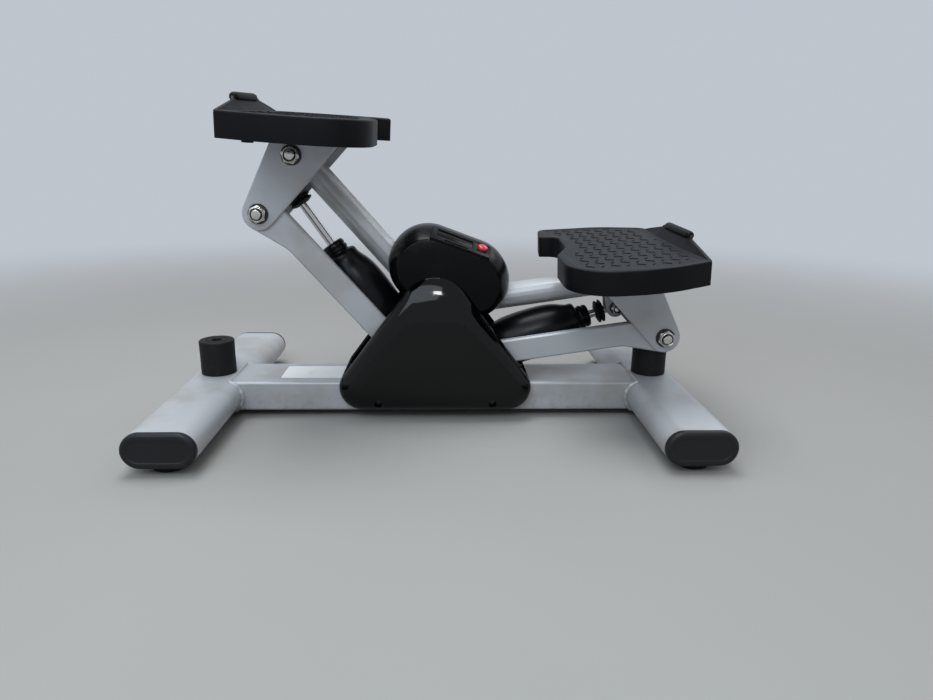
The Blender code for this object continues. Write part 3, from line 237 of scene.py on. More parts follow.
def cap_black():
    """The greyer black of the end caps, coarse grained and scuffed where they are kicked."""
    cap = Finish("cap_black", Specular_IOR_Level=0.3)
    grain = cap.noise(1300)
    scuff = cap.noise(210, 6.0, 0.7, (1, 1, 4)).between(0.6, 0.72)
    shade = cap.blend(scuff * 0.35, (0.009, 0.0095, 0.0115), (0.045, 0.045, 0.048))
    return cap.done(shade, grain * 0.15 + scuff * 0.15 + 0.38, grain, 0.00008, 0.4)


def charcoal():
    """Charcoal moulding of the pedals: leathery grain, dust that lies on what looks up, and painted light
    that makes every face that looks up lighter than the sides.
    """
    moulding = Finish("charcoal", Specular_IOR_Level=0.12)
    grain = moulding.cells(900)
    patch = moulding.noise(22, 5.0, 0.65)
    dust = patch.between(0.42, 0.7) * moulding.upward() * moulding.noise(700).between(0.3, 0.7)
    shade = moulding.blend(patch.between(0.3, 0.7), (0.0026, 0.0028, 0.0038), (0.0042, 0.0045, 0.0057))
    # Painted light: faces that look up are painted lighter, as if lit from above
    shade = moulding.blend(moulding.upward() * 0.6, shade, (0.021, 0.0225, 0.0265))
    shade = moulding.blend(dust * 0.3, shade, (0.06, 0.059, 0.057))
    return moulding.done(shade, grain * 0.12 + dust * 0.2 + 0.42, grain, 0.00008, 0.5)


def rubber():
    """Dull black rubber, paler where it is scuffed."""
    post = Finish("rubber", Specular_IOR_Level=0.22)
    scuff = post.noise(160, 6.0, 0.7).between(0.52, 0.72)
    shade = post.blend(scuff * 0.5, (0.0062, 0.0064, 0.0072), (0.026, 0.0255, 0.025))
    return post.done(shade, scuff * 0.15 + 0.62, post.noise(900), 0.0001, 0.5)


def zinc():
    """Zinc plate, a little yellow and stained."""
    plate = Finish("zinc", Metallic=1.0)
    stain = plate.noise(240, 5.0, 0.65).between(0.45, 0.8)
    shade = plate.blend(stain * 0.7, (0.60, 0.59, 0.55), (0.22, 0.20, 0.16))
    roughness = stain * 0.12 + plate.noise(2500, 2.0) * 0.08 + 0.18
    return plate.done(shade, roughness, plate.noise(900, 2.0), 0.00003, 0.3)


def dark_steel():
    """Oiled black steel of the cover's screws, and of the washers and lock rings on the bolts."""
    steel = Finish("dark_steel", Metallic=1.0)
    shade = steel.blend(steel.noise(500), (0.035, 0.034, 0.033), (0.07, 0.068, 0.064))
    return steel.done(shade, steel.noise(1400, 2.0) * 0.12 + 0.3)


def chrome():
    """Hard chrome, drawn along the rod."""
    bright = Finish("chrome", Metallic=1.0)
    drawn = bright.noise(1400, 3.0, 0.5, (1, 6, 1))
    return bright.done(bright.blend(drawn, (0.50, 0.495, 0.49), (0.62, 0.615, 0.61)), drawn * 0.08 + 0.08)


def nylon():
    """Natural nylon."""
    resin = Finish("nylon", Subsurface_Weight=0.1)
    shade = resin.blend(resin.noise(90), (0.56, 0.55, 0.50), (0.66, 0.65, 0.60))
    return resin.done(shade, resin.noise(600) * 0.15 + 0.40)


def vinyl():
    """A blank pale label, rubbed and a little soiled."""
    film = Finish("vinyl", Specular_IOR_Level=0.4)
    soil = film.noise(75, 6.0, 0.7).between(0.5, 0.75)
    shade = film.blend(soil * 0.35, (0.84, 0.85, 0.86), (0.58, 0.58, 0.57))
    return film.done(shade, soil * 0.2 + 0.38, film.noise(60, 2.0), 0.0002, 0.3)


def red():
    """Polished red of the button's cap."""
    cap = Finish("red_moulding", Coat_Weight=0.4, Coat_Roughness=0.1)
    shade = cap.blend(cap.noise(260), (0.50, 0.012, 0.022), (0.62, 0.02, 0.03))
    return cap.done(shade, cap.noise(900) * 0.1 + 0.26)


def window():
    """A dark display under a clear lens."""
    lens = Finish("window", Specular_IOR_Level=0.08)
    shade = lens.blend(lens.noise(40), (0.0014, 0.0016, 0.0016), (0.0024, 0.0026, 0.0026))
    return lens.done(shade, lens.noise(800) * 0.04 + 0.14)


FINISHES = {make.__name__: make() for make in (
    silver_paint, gloss_black, boot_black, satin_black, cap_black, charcoal, rubber, zinc, dark_steel, chrome,
    nylon, vinyl, red, window)}
SLOTS = {entry["node"]: entry["material_slot"] for entry in frame["record"]["subparts"]}
BODIES = {node: body for body, nodes in frame["record"]["behaviour"]["bodies"].items() for node in nodes}


# Bmesh tools

def mm(*points):
    """Points, or lists of sizes, given in millimetres."""
    return [tuple(value * MM for value in point) for point in points]


def meshed(shape, name="loose"):
    """A mesh made of a bmesh, which is freed."""
    mesh = bpy.data.meshes.new(name)
    shape.to_mesh(mesh)
    shape.free()
    return mesh


def linked(name, data):
    """A new object in the scene."""
    made = bpy.data.objects.new(name, data)
    SCENE.collection.objects.link(made)
    return made


def worked(shape, *steps):
    """A bmesh after modifiers, each given by its kind and settings; a cutter is a bmesh too."""
    body = linked("loose", meshed(shape))
    used = [body]
    for kind, settings in steps:
        modifier = body.modifiers.new(kind.lower(), kind)
        for name, value in settings.items():
            if name == "object":
                value = linked("loose", meshed(value))
                used.append(value)
            setattr(modifier, name, value)
    bpy.context.view_layer.update()
    result = bmesh.new()
    result.from_object(body, bpy.context.evaluated_depsgraph_get())
    for item in used:
        mesh = item.data
        bpy.data.objects.remove(item)
        bpy.data.meshes.remove(mesh)
    return result


def carved(shape, *cutters, operation="DIFFERENCE"):
    """The shape after a Boolean with each cutter."""
    return worked(shape, *[("BOOLEAN", {"operation": operation, "object": cutter}) for cutter in cutters])


def walled(shape, wall):
    """An open skin given its wall on the inside."""
    return worked(shape, ("SOLIDIFY", {"thickness": wall, "offset": -1.0, "use_even_offset": True}))


def together(*shapes):
    """One bmesh that holds them all."""
    whole = bmesh.new()
    for shape in shapes:
        mesh = meshed(shape)
        whole.from_mesh(mesh)
        bpy.data.meshes.remove(mesh)
    return whole


def placed(shape, *turns):
    """The shape moved by matrices, the last one first."""
    matrix = Matrix.Identity(4)
    for turn in turns:
        matrix = matrix @ turn
    bmesh.ops.transform(shape, matrix=matrix, verts=shape.verts)
    if matrix.determinant() < 0:
        bmesh.ops.reverse_faces(shape, faces=shape.faces)
    return shape


def at_end(shape, end):
    """A shape made for the front, turned to the back if its end is the rear."""
    return placed(shape, spun(pi, "Z")) if end == "rear" else shape


def block(low, high, edge=0.0, segments=2):
    """A box between two corners, with its edges rounded where edge says so."""
    shape = bmesh.new()
    size = Vector(high) - Vector(low)
    middle = shift(*(Vector(low) + size / 2))
    bmesh.ops.create_cube(shape, size=1.0, matrix=middle @ Matrix.Diagonal((*size, 1)))
    if edge:
        bmesh.ops.bevel(shape, geom=shape.edges, offset=edge, segments=segments, profile=0.5,
                        affect="EDGES", material=-1)
    return shape


def bar(radius, start, end, sides=48):
    """A round bar between two points."""
    shape = bmesh.new()
    start, end = Vector(start), Vector(end)
    turn = (end - start).to_track_quat("Z", "Y").to_matrix().to_4x4()
    bmesh.ops.create_cone(shape, cap_ends=True, segments=sides, radius1=radius, radius2=radius,
                          depth=(end - start).length, matrix=shift(*((start + end) / 2)) @ turn)
    return shape


def turned(profile, steps=48, ring=False):
    """A profile of (radius, height) turned about Z; a ring's profile closes on itself."""
    shape = bmesh.new()
    points = [shape.verts.new((radius, 0, height)) for radius, height in profile]
    pairs = list(zip(points, points[1:])) + ([(points[-1], points[0])] if ring else [])
    edges = [shape.edges.new(pair) for pair in pairs]
    bmesh.ops.spin(shape, geom=points + edges, cent=(0, 0, 0), axis=(0, 0, 1), angle=2 * pi,
                   steps=steps, use_merge=True)
    bmesh.ops.remove_doubles(shape, verts=shape.verts, dist=TINY)
    bmesh.ops.recalc_face_normals(shape, faces=shape.faces)
    return shape


def eased(points, parts=4):
    """A smooth curve through points."""
    curve = []
    for k in range(len(points) - 1):
        before, here = Vector(points[max(k - 1, 0)]), Vector(points[k])
        there, after = Vector(points[k + 1]), Vector(points[min(k + 2, len(points) - 1)])
        for part in range(parts):
            t = part / parts
            curve.append(tuple(0.5 * (2 * here + (there - before) * t
                                      + (2 * before - 5 * here + 4 * there - after) * t ** 2
                                      + (3 * here - before - 3 * there + after) * t ** 3)))
    return curve + [tuple(points[-1])]


def wrapped(circles, step=4):
    """A face towards -Y inside a belt round circles (x, z, radius) that are listed anticlockwise."""
    shape = bmesh.new()
    leaving = [atan2(bz - az, bx - ax) - acos((a - b) / hypot(bx - ax, bz - az))
               for (ax, az, a), (bx, bz, b) in zip(circles, circles[1:] + circles[:1])]
    ends = []
    for index, (x, z, radius) in enumerate(circles):
        start = leaving[index - 1]
        sweep = (leaving[index] - start) % (2 * pi)
        first = shape.verts.new((x + radius * cos(start), 0, z + radius * sin(start)))
        made = bmesh.ops.spin(shape, geom=[first], cent=(x, 0, z), axis=(0, -1, 0), angle=sweep,
                              steps=ceil(sweep / radians(step)))
        ends.append((first, next(item for item in made["geom_last"] if isinstance(item, bmesh.types.BMVert))))
    for index in range(len(ends)):
        shape.edges.new((ends[index - 1][1], ends[index][0]))
    bmesh.ops.edgeloop_fill(shape, edges=shape.edges)
    if shape.faces[:][0].normal.y > 0:
        bmesh.ops.reverse_faces(shape, faces=shape.faces)
    return shape


def drawn_out(shape, back, profile):
    """A flat face moved to the depth back, then drawn towards -Y through rings of (inset, depth)."""
    bmesh.ops.translate(shape, vec=(0, back, 0), verts=shape.verts)
    face = shape.faces[:][0]
    inset, depth = 0.0, -back
    for next_inset, next_depth in profile:
        if next_inset - inset > TINY:
            bmesh.ops.inset_region(shape, faces=[face], thickness=next_inset - inset,
                                   depth=next_depth - depth, use_even_offset=True, use_boundary=True)
        else:
            face = bmesh.ops.extrude_discrete_faces(shape, faces=[face])["faces"][0]
            bmesh.ops.translate(shape, vec=(0, depth - next_depth, 0), verts=face.verts)
        inset, depth = next_inset, next_depth
    return shape


def cut_across(shape, axis, place):
    """New edges in a shape where one of its coordinates has a value."""
    spot, normal = Vector(), Vector()
    spot[axis], normal[axis] = place, 1
    bmesh.ops.bisect_plane(shape, geom=shape.verts[:] + shape.edges[:] + shape.faces[:], dist=TINY,
                           plane_co=spot, plane_no=normal)


def opened(shape, low, high):
    """Remove what an open skin has inside a box, cut clean along each of the box's sides that isn't FAR."""
    for axis in range(3):
        for place in (low[axis], high[axis]):
            if abs(place) < FAR:
                cut_across(shape, axis, place)
    inside = [face for face in shape.faces
              if all(low[k] < face.calc_center_median()[k] < high[k] for k in range(3))]
    bmesh.ops.delete(shape, geom=inside, context="FACES")


def lofted(rings):
    """A closed skin bridged over rings of as many points each."""
    shape = bmesh.new()
    loops = []
    for ring in rings:
        points = [shape.verts.new(point) for point in ring]
        loops.append([shape.edges.new((points[k - 1], points[k])) for k in range(len(points))])
    for one, two in zip(loops, loops[1:]):
        bmesh.ops.bridge_loops(shape, edges=one + two)
    bmesh.ops.edgeloop_fill(shape, edges=loops[0])
    bmesh.ops.edgeloop_fill(shape, edges=loops[-1])
    bmesh.ops.recalc_face_normals(shape, faces=shape.faces)
    return shape


def cornered(corners, segments=8):
    """A face that looks up, with its corners (x, y, radius) rounded."""
    shape = bmesh.new()
    points = [shape.verts.new((x, y, 0)) for x, y, radius in corners]
    shape.faces.new(points)
    for index, (x, y, radius) in enumerate(corners):
        here = Vector((x, y))
        before = Vector(corners[index - 1][:2]) - here
        after = Vector(corners[(index + 1) % len(corners)][:2]) - here
        if radius:
            bmesh.ops.bevel(shape, geom=[points[index]], offset=radius / tan(before.angle(after) / 2),
                            segments=segments, profile=0.5, affect="VERTICES", material=-1)
    return shape


def bead(path, radius):
    """A weld bead along a path: a round cord, rippled by each drop of metal."""
    rings = []
    path = [Vector(point) for point in path]
    for k, point in enumerate(path):
        ahead = (path[min(k + 1, len(path) - 1)] - path[max(k - 1, 0)]).normalized()
        side = ahead.orthogonal().normalized()
        up = ahead.cross(side)
        ripple = 1 + 0.2 * sin(k * 2.1) + 0.1 * sin(k * 0.9)
        size = radius * ripple * (0.55 if k in (0, len(path) - 1) else 1)
        rings.append([point + (side * cos(a * pi / 5) + up * sin(a * pi / 5)) * size for a in range(10)])
    return lofted(rings)


# Making pieces

REPLACED = set()


def piece(name, shape, body, slot, replaced=(), corner=35, finish=None):
    """Make a named piece of a bmesh, in its slot's finish unless one is given, and let it ride on a body."""
    mesh = meshed(shape, name)
    mesh.shade_smooth()
    mesh.set_sharp_from_angle(angle=radians(corner))
    mesh.materials.append(FINISHES[finish or slot])
    made = linked(name, mesh)
    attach(made, body)
    if replaced:
        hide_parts(*replaced)
        REPLACED.update(replaced)


def dress(node, name, shape, corner=35, finish=None):
    """Make the piece that takes a CAD node's place, on the same body and in the same slot."""
    piece(name, shape, BODIES[node], SLOTS[node], [node], corner, finish)


def skin(node, finish=None):
    """A CAD node's own shape with its loose triangles joined, shaded smooth."""
    shape = bmesh.new()
    shape.from_mesh(frame["nodes"][node].data)
    bmesh.ops.remove_doubles(shape, verts=shape.verts, dist=0.005 * MM)
    bmesh.ops.dissolve_limit(shape, angle_limit=radians(1), verts=shape.verts, edges=shape.edges)
    dress(node, node + "_skin", shape, finish=finish)


# Tower covers

COVER_CIRCLES = mm((94.5, 43, 29.5), (0, 139.5, 48), (-94.5, 43, 29.5))
COVER_EDGE = 44 * MM
COVER_WALL = 2.5 * MM
COVER_SHOULDER_WIDTH = 19 * MM
COVER_SHOULDER_DEPTH = 15.7 * MM
COVER_FACE_INSET = 28.3 * MM
COVER_FACE_DEPTH = 1.15 * MM
COVER_RISE = 16.8 * MM
COVER_SLOT_DEPTH = 47.5 * MM
COVER_SILL = 58 * MM
COVER_SCREW_X = 73.3 * MM
COVER_SCREW_Z = 26 * MM
BEAM_SIDE = 42.3 * MM
BEAM_CLEAR_TOP = 49.6 * MM


def cover_swell(x, z):
    """How far the cover's face stands out at a place: most low in its middle, and drawn back at the nose."""
    crown = 5 * MM * max(1 - (x / (115 * MM)) ** 2 - ((z - 60 * MM) / (130 * MM)) ** 2, 0)
    nose = max(z - 130 * MM, 0) / (57 * MM)
    return crown - 11.5 * MM * nose ** 2


def tower_cover(end):
    """A polished half shell with a wide shoulder, a crowned face and two sunk screws."""
    profile = [(0.0, COVER_EDGE)]
    for k in range(1, 14):
        angle = radians(6 * k)
        profile.append((COVER_SHOULDER_WIDTH * (1 - cos(angle)),
                        COVER_EDGE + COVER_SHOULDER_DEPTH * sin(angle)))
    inset, depth = profile[-1]
    for k in range(1, 7):
        share = k / 6
        profile.append((inset + (COVER_FACE_INSET - inset) * share,
                        depth + COVER_FACE_DEPTH * (2 * share - share * share)))
    shell = drawn_out(wrapped(COVER_CIRCLES), -PARTING, profile)
    opened(shell, (-FAR, -COVER_SLOT_DEPTH, COVER_SILL), (FAR, FAR, FAR))
    opened(shell, (-FAR, -BEAM_SIDE, -FAR), (FAR, FAR, BEAM_CLEAR_TOP))
    for x in range(-84, 85, 12):
        cut_across(shell, 0, x * MM)
    for z in range(24, 169, 12):
        cut_across(shell, 2, z * MM)
    for vert in shell.verts:
        rise = max(-vert.co.y - COVER_EDGE, 0)
        vert.co.y -= rise / COVER_RISE * cover_swell(vert.co.x, vert.co.z)
    shell = walled(shell, COVER_WALL)
    bores = [bar(5.2 * MM, (side * COVER_SCREW_X, -75 * MM, COVER_SCREW_Z),
                 (side * COVER_SCREW_X, -52 * MM, COVER_SCREW_Z), 32) for side in SIDES.values()]
    shell = carved(shell, *bores)
    rim = 57 * MM + cover_swell(COVER_SCREW_X, COVER_SCREW_Z)
    cup = [(5.2 * MM, rim), *mm((5.2, 50.2), (2.7, 50.2), (2.7, 42.4), (8, 42.4), (8, 49), (5.8, 56)),
           (5.6 * MM, rim)]
    cups = [placed(turned(cup, 32, ring=True), shift(side * COVER_SCREW_X, 0, COVER_SCREW_Z),
                   FACING["front"]) for side in SIDES.values()]
    dress("tower_cover_" + end, "tower_cover_shell_" + end, at_end(together(shell, *cups), end), 28)


for end in ENDS:
    tower_cover(end)


# Console pod

POD_CIRCLES = mm((28.5, 51, 51), (-28.5, 51, 51))
POD_WALL = 2.5 * MM
CONSOLE = ROCKER @ shift(0, -30.5 * MM, 95.8 * MM) @ spun(radians(20), "X")


def along_arm(side):
    """Which way an arm runs out from the axle, in the rocker's frame."""
    return Vector((side * cos(ARM_ANGLE), 0, sin(ARM_ANGLE)))


def pod_half(end):
    """Half of the pod: a flat face, a long soft shoulder, and a notch for each arm."""
    curve = eased(mm((0, 10), (1.7, 19), (4.4, 27), (8.2, 35), (11.6, 41), (14, 44.5), (16.4, 46)))
    start = 10 * MM if end == "front" else 12.2 * MM
    profile = [(0.0, start)]
    profile += [(inset, max(depth, start)) for inset, depth in curve if depth >= start - TINY]
    shell = drawn_out(wrapped(POD_CIRCLES), -ENDS[end] * RUN_DEPTH - PARTING, profile)
    opened(shell, (-46 * MM, -FAR, -FAR), (46 * MM, FAR, 13 * MM))
    shell = at_end(walled(shell, POD_WALL), end)
    cutters = [bar(24 * MM, *mm((0, -80, 0), (0, 80, 0)), 64)]
    for side in SIDES.values():
        ahead = along_arm(side)
        cutters.append(bar(17 * MM, ahead * (5 * MM) + RUN, ahead * (150 * MM) + RUN))
    if end == "front":
        pocket = block(*mm((-38.9, -16.9, -12.4), (38.9, 16.9, 30)))
        cutters.append(placed(pocket, ROCKER.inverted() @ CONSOLE))
    dress("pod_shell_" + end, "pod_half_" + end, placed(carved(shell, *cutters), ROCKER), 30)


for end in ENDS:
    pod_half(end)


# Console

def console():
    """The computer in the pod's top: a flush plate, a sunk lens, a thumb slot and a domed button."""
    plate = block(*mm((-38.5, -16.5, -12), (38.5, 16.5, 0)), 1.1 * MM, 3)
    pocket = block(*mm((-32, -7.2, -1.4), (14.8, 11.2, 5)), 1.2 * MM)
    slot = block(*mm((-21, -14.2, -6), (9.5, -11.4, 5)), 0.8 * MM)
    bay = block(*mm((18, -8, -0.7), (36.8, 14, 5)), 0.6 * MM)
    well = bar(7 * MM, *mm((28, 3.5, -8), (28, 3.5, 5)))
    plate = carved(plate, pocket, slot, bay, well)
    dress("console_module", "console_plate", placed(plate, CONSOLE))
    lens = block(*mm((-31.6, -6.8, -3), (14.4, 10.8, -0.9)), 0.4 * MM)
    dress("console_window", "console_lens", placed(lens, CONSOLE))
    dome = [(6.4 * MM * sin(radians(15 * k)), (1.2 + 2.3 * cos(radians(15 * k))) * MM) for k in range(1, 7)]
    cap = turned([(0, 3.5 * MM), *dome, *mm((6.5, 0.8), (6.5, -5), (0, -5))])
    dress("console_button", "console_button_cap", placed(cap, CONSOLE, shift(28 * MM, 3.5 * MM)))


# Dampers

DAMPER_PIN_X = 30.5 * MM
DAMPER_PIN_Z = 67.7 * MM
BUMPER_REACH = 21 * MM
ROD_LENGTH = 165 * MM


def rocker_eye(side):
    """Where a damper's upper bolt lies in the rocker's frame, seen from the front."""
    along = ARM_LENGTH - EYE_SETBACK
    return Vector((side * (along * cos(ARM_ANGLE) + EYE_DROP * sin(ARM_ANGLE)), 0,
                   along * sin(ARM_ANGLE) - EYE_DROP * cos(ARM_ANGLE)))


def damper_place(side):
    """Where a damper's pin lies, with Z up its rod, and its length to the rocker's lug."""
    pin = Vector((side * DAMPER_PIN_X, RUN_DEPTH, DAMPER_PIN_Z))
    line = ROCKER @ rocker_eye(side) + RUN - pin
    return shift(*pin) @ spun(pi / 2 - atan2(line.z, line.x), "Y"), line.length


def boot(word, place):
    """The boot over a cylinder: a beaded neck, a step, and a belly that narrows at its foot."""
    neck = [(6.2, 185.5), (11.4, 185.5), (13.2, 185), (14.6, 183.8), (15.2, 182), (15.4, 179.4),
            (14.5, 178.4), (14.5, 177.6), (15.5, 176.7), (15.9, 174.4), (15.4, 172.6), (14.6, 171.6),
            (14.8, 170.6), (17.6, 169.4), (20.4, 168.4), (21.9, 166.8)]
    belly = eased([(22.5, 164.5), (23, 159), (25.6, 152), (28.6, 144.5), (31.2, 133.5), (33, 119),
                   (33.8, 100), (33.6, 84), (32.4, 69), (28, 54), (21, 43), (16.9, 36.5)], 3)
    lining = [(14.3, 36), (14.3, 183.3), (6.2, 183.3)]
    shape = turned(mm(*neck, *belly, *lining), 72, ring=True)
    dress("damper_boot_" + word, "damper_boot_skin_" + word, placed(shape, place), finish="boot_black")


def bumper(word, place, length):
    """The rubber bumper on a rod: two waves and a pinched middle."""
    waves = eased([(9, 6), (14.2, 4.4), (15.4, 2.2), (12.4, 0.3), (15.2, -1.8), (14.4, -3.8), (8.6, -6)])
    shape = turned(mm((5.8, 6), *waves, (5.8, -6)), 56, ring=True)
    placed(shape, place, shift(z=length - BUMPER_REACH))
    dress("damper_bumper_" + word, "damper_bumper_skin_" + word, shape)


def damper_rod(word, place, length):
    """A ground and chromed rod with an eye at its top."""
    foot = length - ROD_LENGTH
    stem = turned([(0, length - 3 * MM), (5.5 * MM, length - 3 * MM), (5.5 * MM, foot + 1 * MM),
                   (4.5 * MM, foot), (0, foot)])
    eye = turned(mm((7.4, -6), (10.4, -6), (11, -5.4), (11, 5.4), (10.4, 6), (7.4, 6)), ring=True)
    placed(eye, shift(z=length), spun(pi / 2, "X"))
    dress("damper_rod_" + word, "damper_rod_skin_" + word, placed(together(stem, eye), place))


console()
for word, side in SIDES.items():
    place, length = damper_place(side)
    boot(word, place)
    bumper(word, place, length)
    damper_rod(word, place, length)


# Base

TUBE_RADIUS = 20 * MM
TUBE_MIDDLE = 30 * MM
TUBE_END = 208.2 * MM


def flat_oval(side, radius=TUBE_RADIUS):
    """The two circles at the ends of a floor tube's section."""
    return [(side * CROSS_X + out, TUBE_MIDDLE, radius) for out in (TUBE_RADIUS, -TUBE_RADIUS)]


def cross_tube(word, side):
    """A flat oval tube, open at its ends, with a hole on top for the bump stop's screw."""
    tube = drawn_out(wrapped(flat_oval(side), 5), TUBE_END, [(0.0, TUBE_END)])
    lids = [face for face in tube.faces if abs(face.normal.y) > 0.9]
    bmesh.ops.delete(tube, geom=lids, context="FACES")
    hole = bar(3.3 * MM, (side * CROSS_X, 0, 44 * MM), (side * CROSS_X, 0, 60 * MM))
    dress("cross_tube_" + word, "cross_tube_skin_" + word, carved(walled(tube, 2 * MM), hole))


def end_cap(word, side, end):
    """A moulded cap with a round edge, a raised rim and a sunk face, on a plug that goes in its tube."""
    side *= -ENDS[end]
    profile = [(0.0, 212.4 * MM)]
    profile += [(3.6 * MM * (1 - cos(radians(15 * k))), (212.4 + 3.6 * sin(radians(15 * k))) * MM)
                for k in range(1, 7)]
    profile += mm((6.2, 216), (6.9, 215.8), (7.6, 215.2), (8.4, 215), (12, 215))
    cap = drawn_out(wrapped(flat_oval(side), 5), -208.5 * MM, profile)
    plug = wrapped(flat_oval(side, TUBE_RADIUS - 2.3 * MM), 8)
    plug = drawn_out(plug, -193 * MM, [(0.0, 208.6 * MM)])
    whole = worked(at_end(together(cap, plug), end), ("SOLIDIFY", {"thickness": 1.5 * MM, "offset": -1.0}))
    dress(f"end_cap_{word}_{end}", f"end_cap_skin_{word}_{end}", whole, finish="cap_black")


def bump_stop(word, side):
    """A cut length of rubber with a ring moulded in its top round the screw's recess."""
    low = 50.3 * MM
    profile = [(7 * MM, STOP_TOP - 1 * MM), (7.6 * MM, STOP_TOP - 0.2 * MM), (12.6 * MM, STOP_TOP),
               (13 * MM, STOP_TOP - 0.7 * MM), (14 * MM, STOP_TOP - 0.7 * MM), (14.4 * MM, STOP_TOP)]
    for k in range(6):
        angle = radians(18 * k)
        profile.append((20.7 * MM + 1.8 * MM * sin(angle), STOP_TOP - 1.8 * MM * (1 - cos(angle))))
    profile += [(22.3 * MM, (STOP_TOP + low) / 2), (22.5 * MM, low + 1 * MM), (21.8 * MM, low),
                (3.3 * MM, low), (3.3 * MM, STOP_TOP - 10 * MM), (7 * MM, STOP_TOP - 10 * MM)]
    post = placed(turned(profile, 72, ring=True), shift(side * CROSS_X))
    dress("bump_stop_" + word, "bump_stop_skin_" + word, post)


def foot_pad(word, side, end):
    """A round rubber foot, a little hollow below."""
    profile = mm((0, 9.7), (19, 9.7), (19, 3), (18.4, 1.2), (17, 0.2), (14, 0), (13.4, 0.6), (0, 0.6))
    pad = placed(turned(profile, 56), shift(side * CROSS_X, ENDS[end] * 184.5 * MM))
    dress(f"foot_pad_{word}_{end}", f"foot_pad_skin_{word}_{end}", pad)


def beam_welds(word, side):
    """The beads round the beam's end: thick ones up its sides, a thin one over its top."""
    edge = []
    for k in range(16):
        z = 10.9 + 38.4 * k / 15
        edge.append((side * (CROSS_X - TUBE_RADIUS - TUBE_RADIUS * cos(asin((z - 30) / 20))), z * MM))
    x, z = edge[-1]
    beads = [bead([(x, (2.9 * k - 42.3) * MM, z + 0.1 * MM) for k in range(30)], 2 * MM)]
    beads += [bead([(x, y, z) for x, z in edge], 3.8 * MM) for y in (-BEAM_SIDE, BEAM_SIDE)]
    piece("beam_weld_" + word, together(*beads), "base", "silver_paint", corner=60)


def beam_label():
    """A blank label with round corners on the beam's top."""
    label = cornered(mm((-40, -26, 3), (40, -26, 3), (40, 26, 3), (-40, 26, 3)), 6)
    placed(label, shift(*mm((-163, 1, 49.42))[0]))
    label = worked(label, ("SOLIDIFY", {"thickness": 0.2 * MM, "offset": 1.0}))
    piece("beam_label", label, "base", "nylon", finish="vinyl")


beam_label()
for word, side in SIDES.items():
    cross_tube(word, side)
    bump_stop(word, side)
    beam_welds(word, side)
    for end in ENDS:
        end_cap(word, side, end)
        foot_pad(word, side, end)


# Fasteners

BRACKET_FRONT = -40 * MM
BRACKET_REAR = RUN_DEPTH + 20.3 * MM
LUG_SIDE = 10.4 * MM
PIVOT_RADIUS = 6 * MM
DAMPER_BOLT_RADIUS = 4 * MM


def rated(radius, *points):
    """A profile given as shares of a radius and heights in millimetres."""
    return [(radius * share, height * MM) for share, height in points]


def nut_washer(radius):
    """A flat washer, along +Z from the face that it lies on."""
    return turned(rated(radius, (1, 0), (2.05, 0), (2.05, 1.1), (1.98, 1.6), (1, 1.6)), ring=True)


def hexagon(radius, low, high, foot, top):
    """A hexagon bar along Z with its corners chamfered, so far at its foot and so far at its top."""
    corner = radius * 1.83
    flat = corner * cos(pi / 6)
    shape = bmesh.new()
    bmesh.ops.create_cone(shape, cap_ends=True, segments=6, radius1=corner, radius2=corner,
                          depth=high - low, matrix=shift(z=(low + high) / 2))
    cone = turned([(0, high), (flat * 0.97, high), (corner * 1.03, high - top), (corner * 1.03, low + foot),
                   (flat * 0.97, low - 0.1 * MM), (0, low - 0.1 * MM)])
    return carved(shape, cone, operation="INTERSECT")


def lock_nut(radius):
    """A lock nut with the bolt's chamfered end in it, along +Z from the face that it clamps."""
    collar = rated(radius, (1.22, 6), (1.56, 7.6), (1.55, 9.4), (1.46, 10.5), (1.35, 10.8), (1.25, 10.4),
                   (1.22, 9.8))
    end = rated(radius, (0, 12.3), (0.72, 12.3), (0.88, 12), (0.97, 11.3), (0.97, 0), (0, 0))
    nut = hexagon(radius, 1.6 * MM, 8.2 * MM, 0.8 * MM, 1 * MM)
    return together(nut, turned(collar, ring=True), turned(end))


def lock_ring(radius):
    """The dark ring that grips the thread inside a lock nut's collar."""
    return turned(rated(radius, (0.99, 7), (1.23, 7), (1.23, 9.6), (1.11, 9.8), (0.99, 9.5)), ring=True)


def bolt_head(radius, shank):
    """A hexagon head on its washer, sunk in its middle, with its shank below."""
    head = hexagon(radius, 1.4 * MM, 6.6 * MM, 0.1 * MM, 1 * MM)
    dish = turned(rated(radius, (0, 6.1), (0.98, 6.1), (1.08, 7), (0, 7)))
    stem = turned([(0, 1.5 * MM), (radius, 1.5 * MM), (radius, -shank), (0, -shank)], 32)
    return together(nut_washer(radius), carved(head, dish), stem)


def through_bolt(node, radius, place, front, rear, turn):
    """A bolt from its head at the back to its lock nut at the front."""
    spin = spun(turn, "Z")
    nut = placed(lock_nut(radius), place, shift(y=front), FACING["front"], spin)
    head = placed(bolt_head(radius, rear - front - 0.2 * MM), place, shift(y=rear), FACING["rear"], spin)
    dress(node, node + "_steel", together(nut, head), 30)
    dark = placed(together(lock_ring(radius), nut_washer(radius)), place, shift(y=front), FACING["front"])
    piece(node + "_washer", dark, BODIES[node], SLOTS[node], finish="dark_steel")


def upper_pivot(side):
    """Where a pedal's bracket hangs on its arm, at rest."""
    angle = ARM_ANGLE - side * SWING
    return Vector((side * ARM_LENGTH * cos(angle), 0, AXLE.z + ARM_LENGTH * sin(angle)))


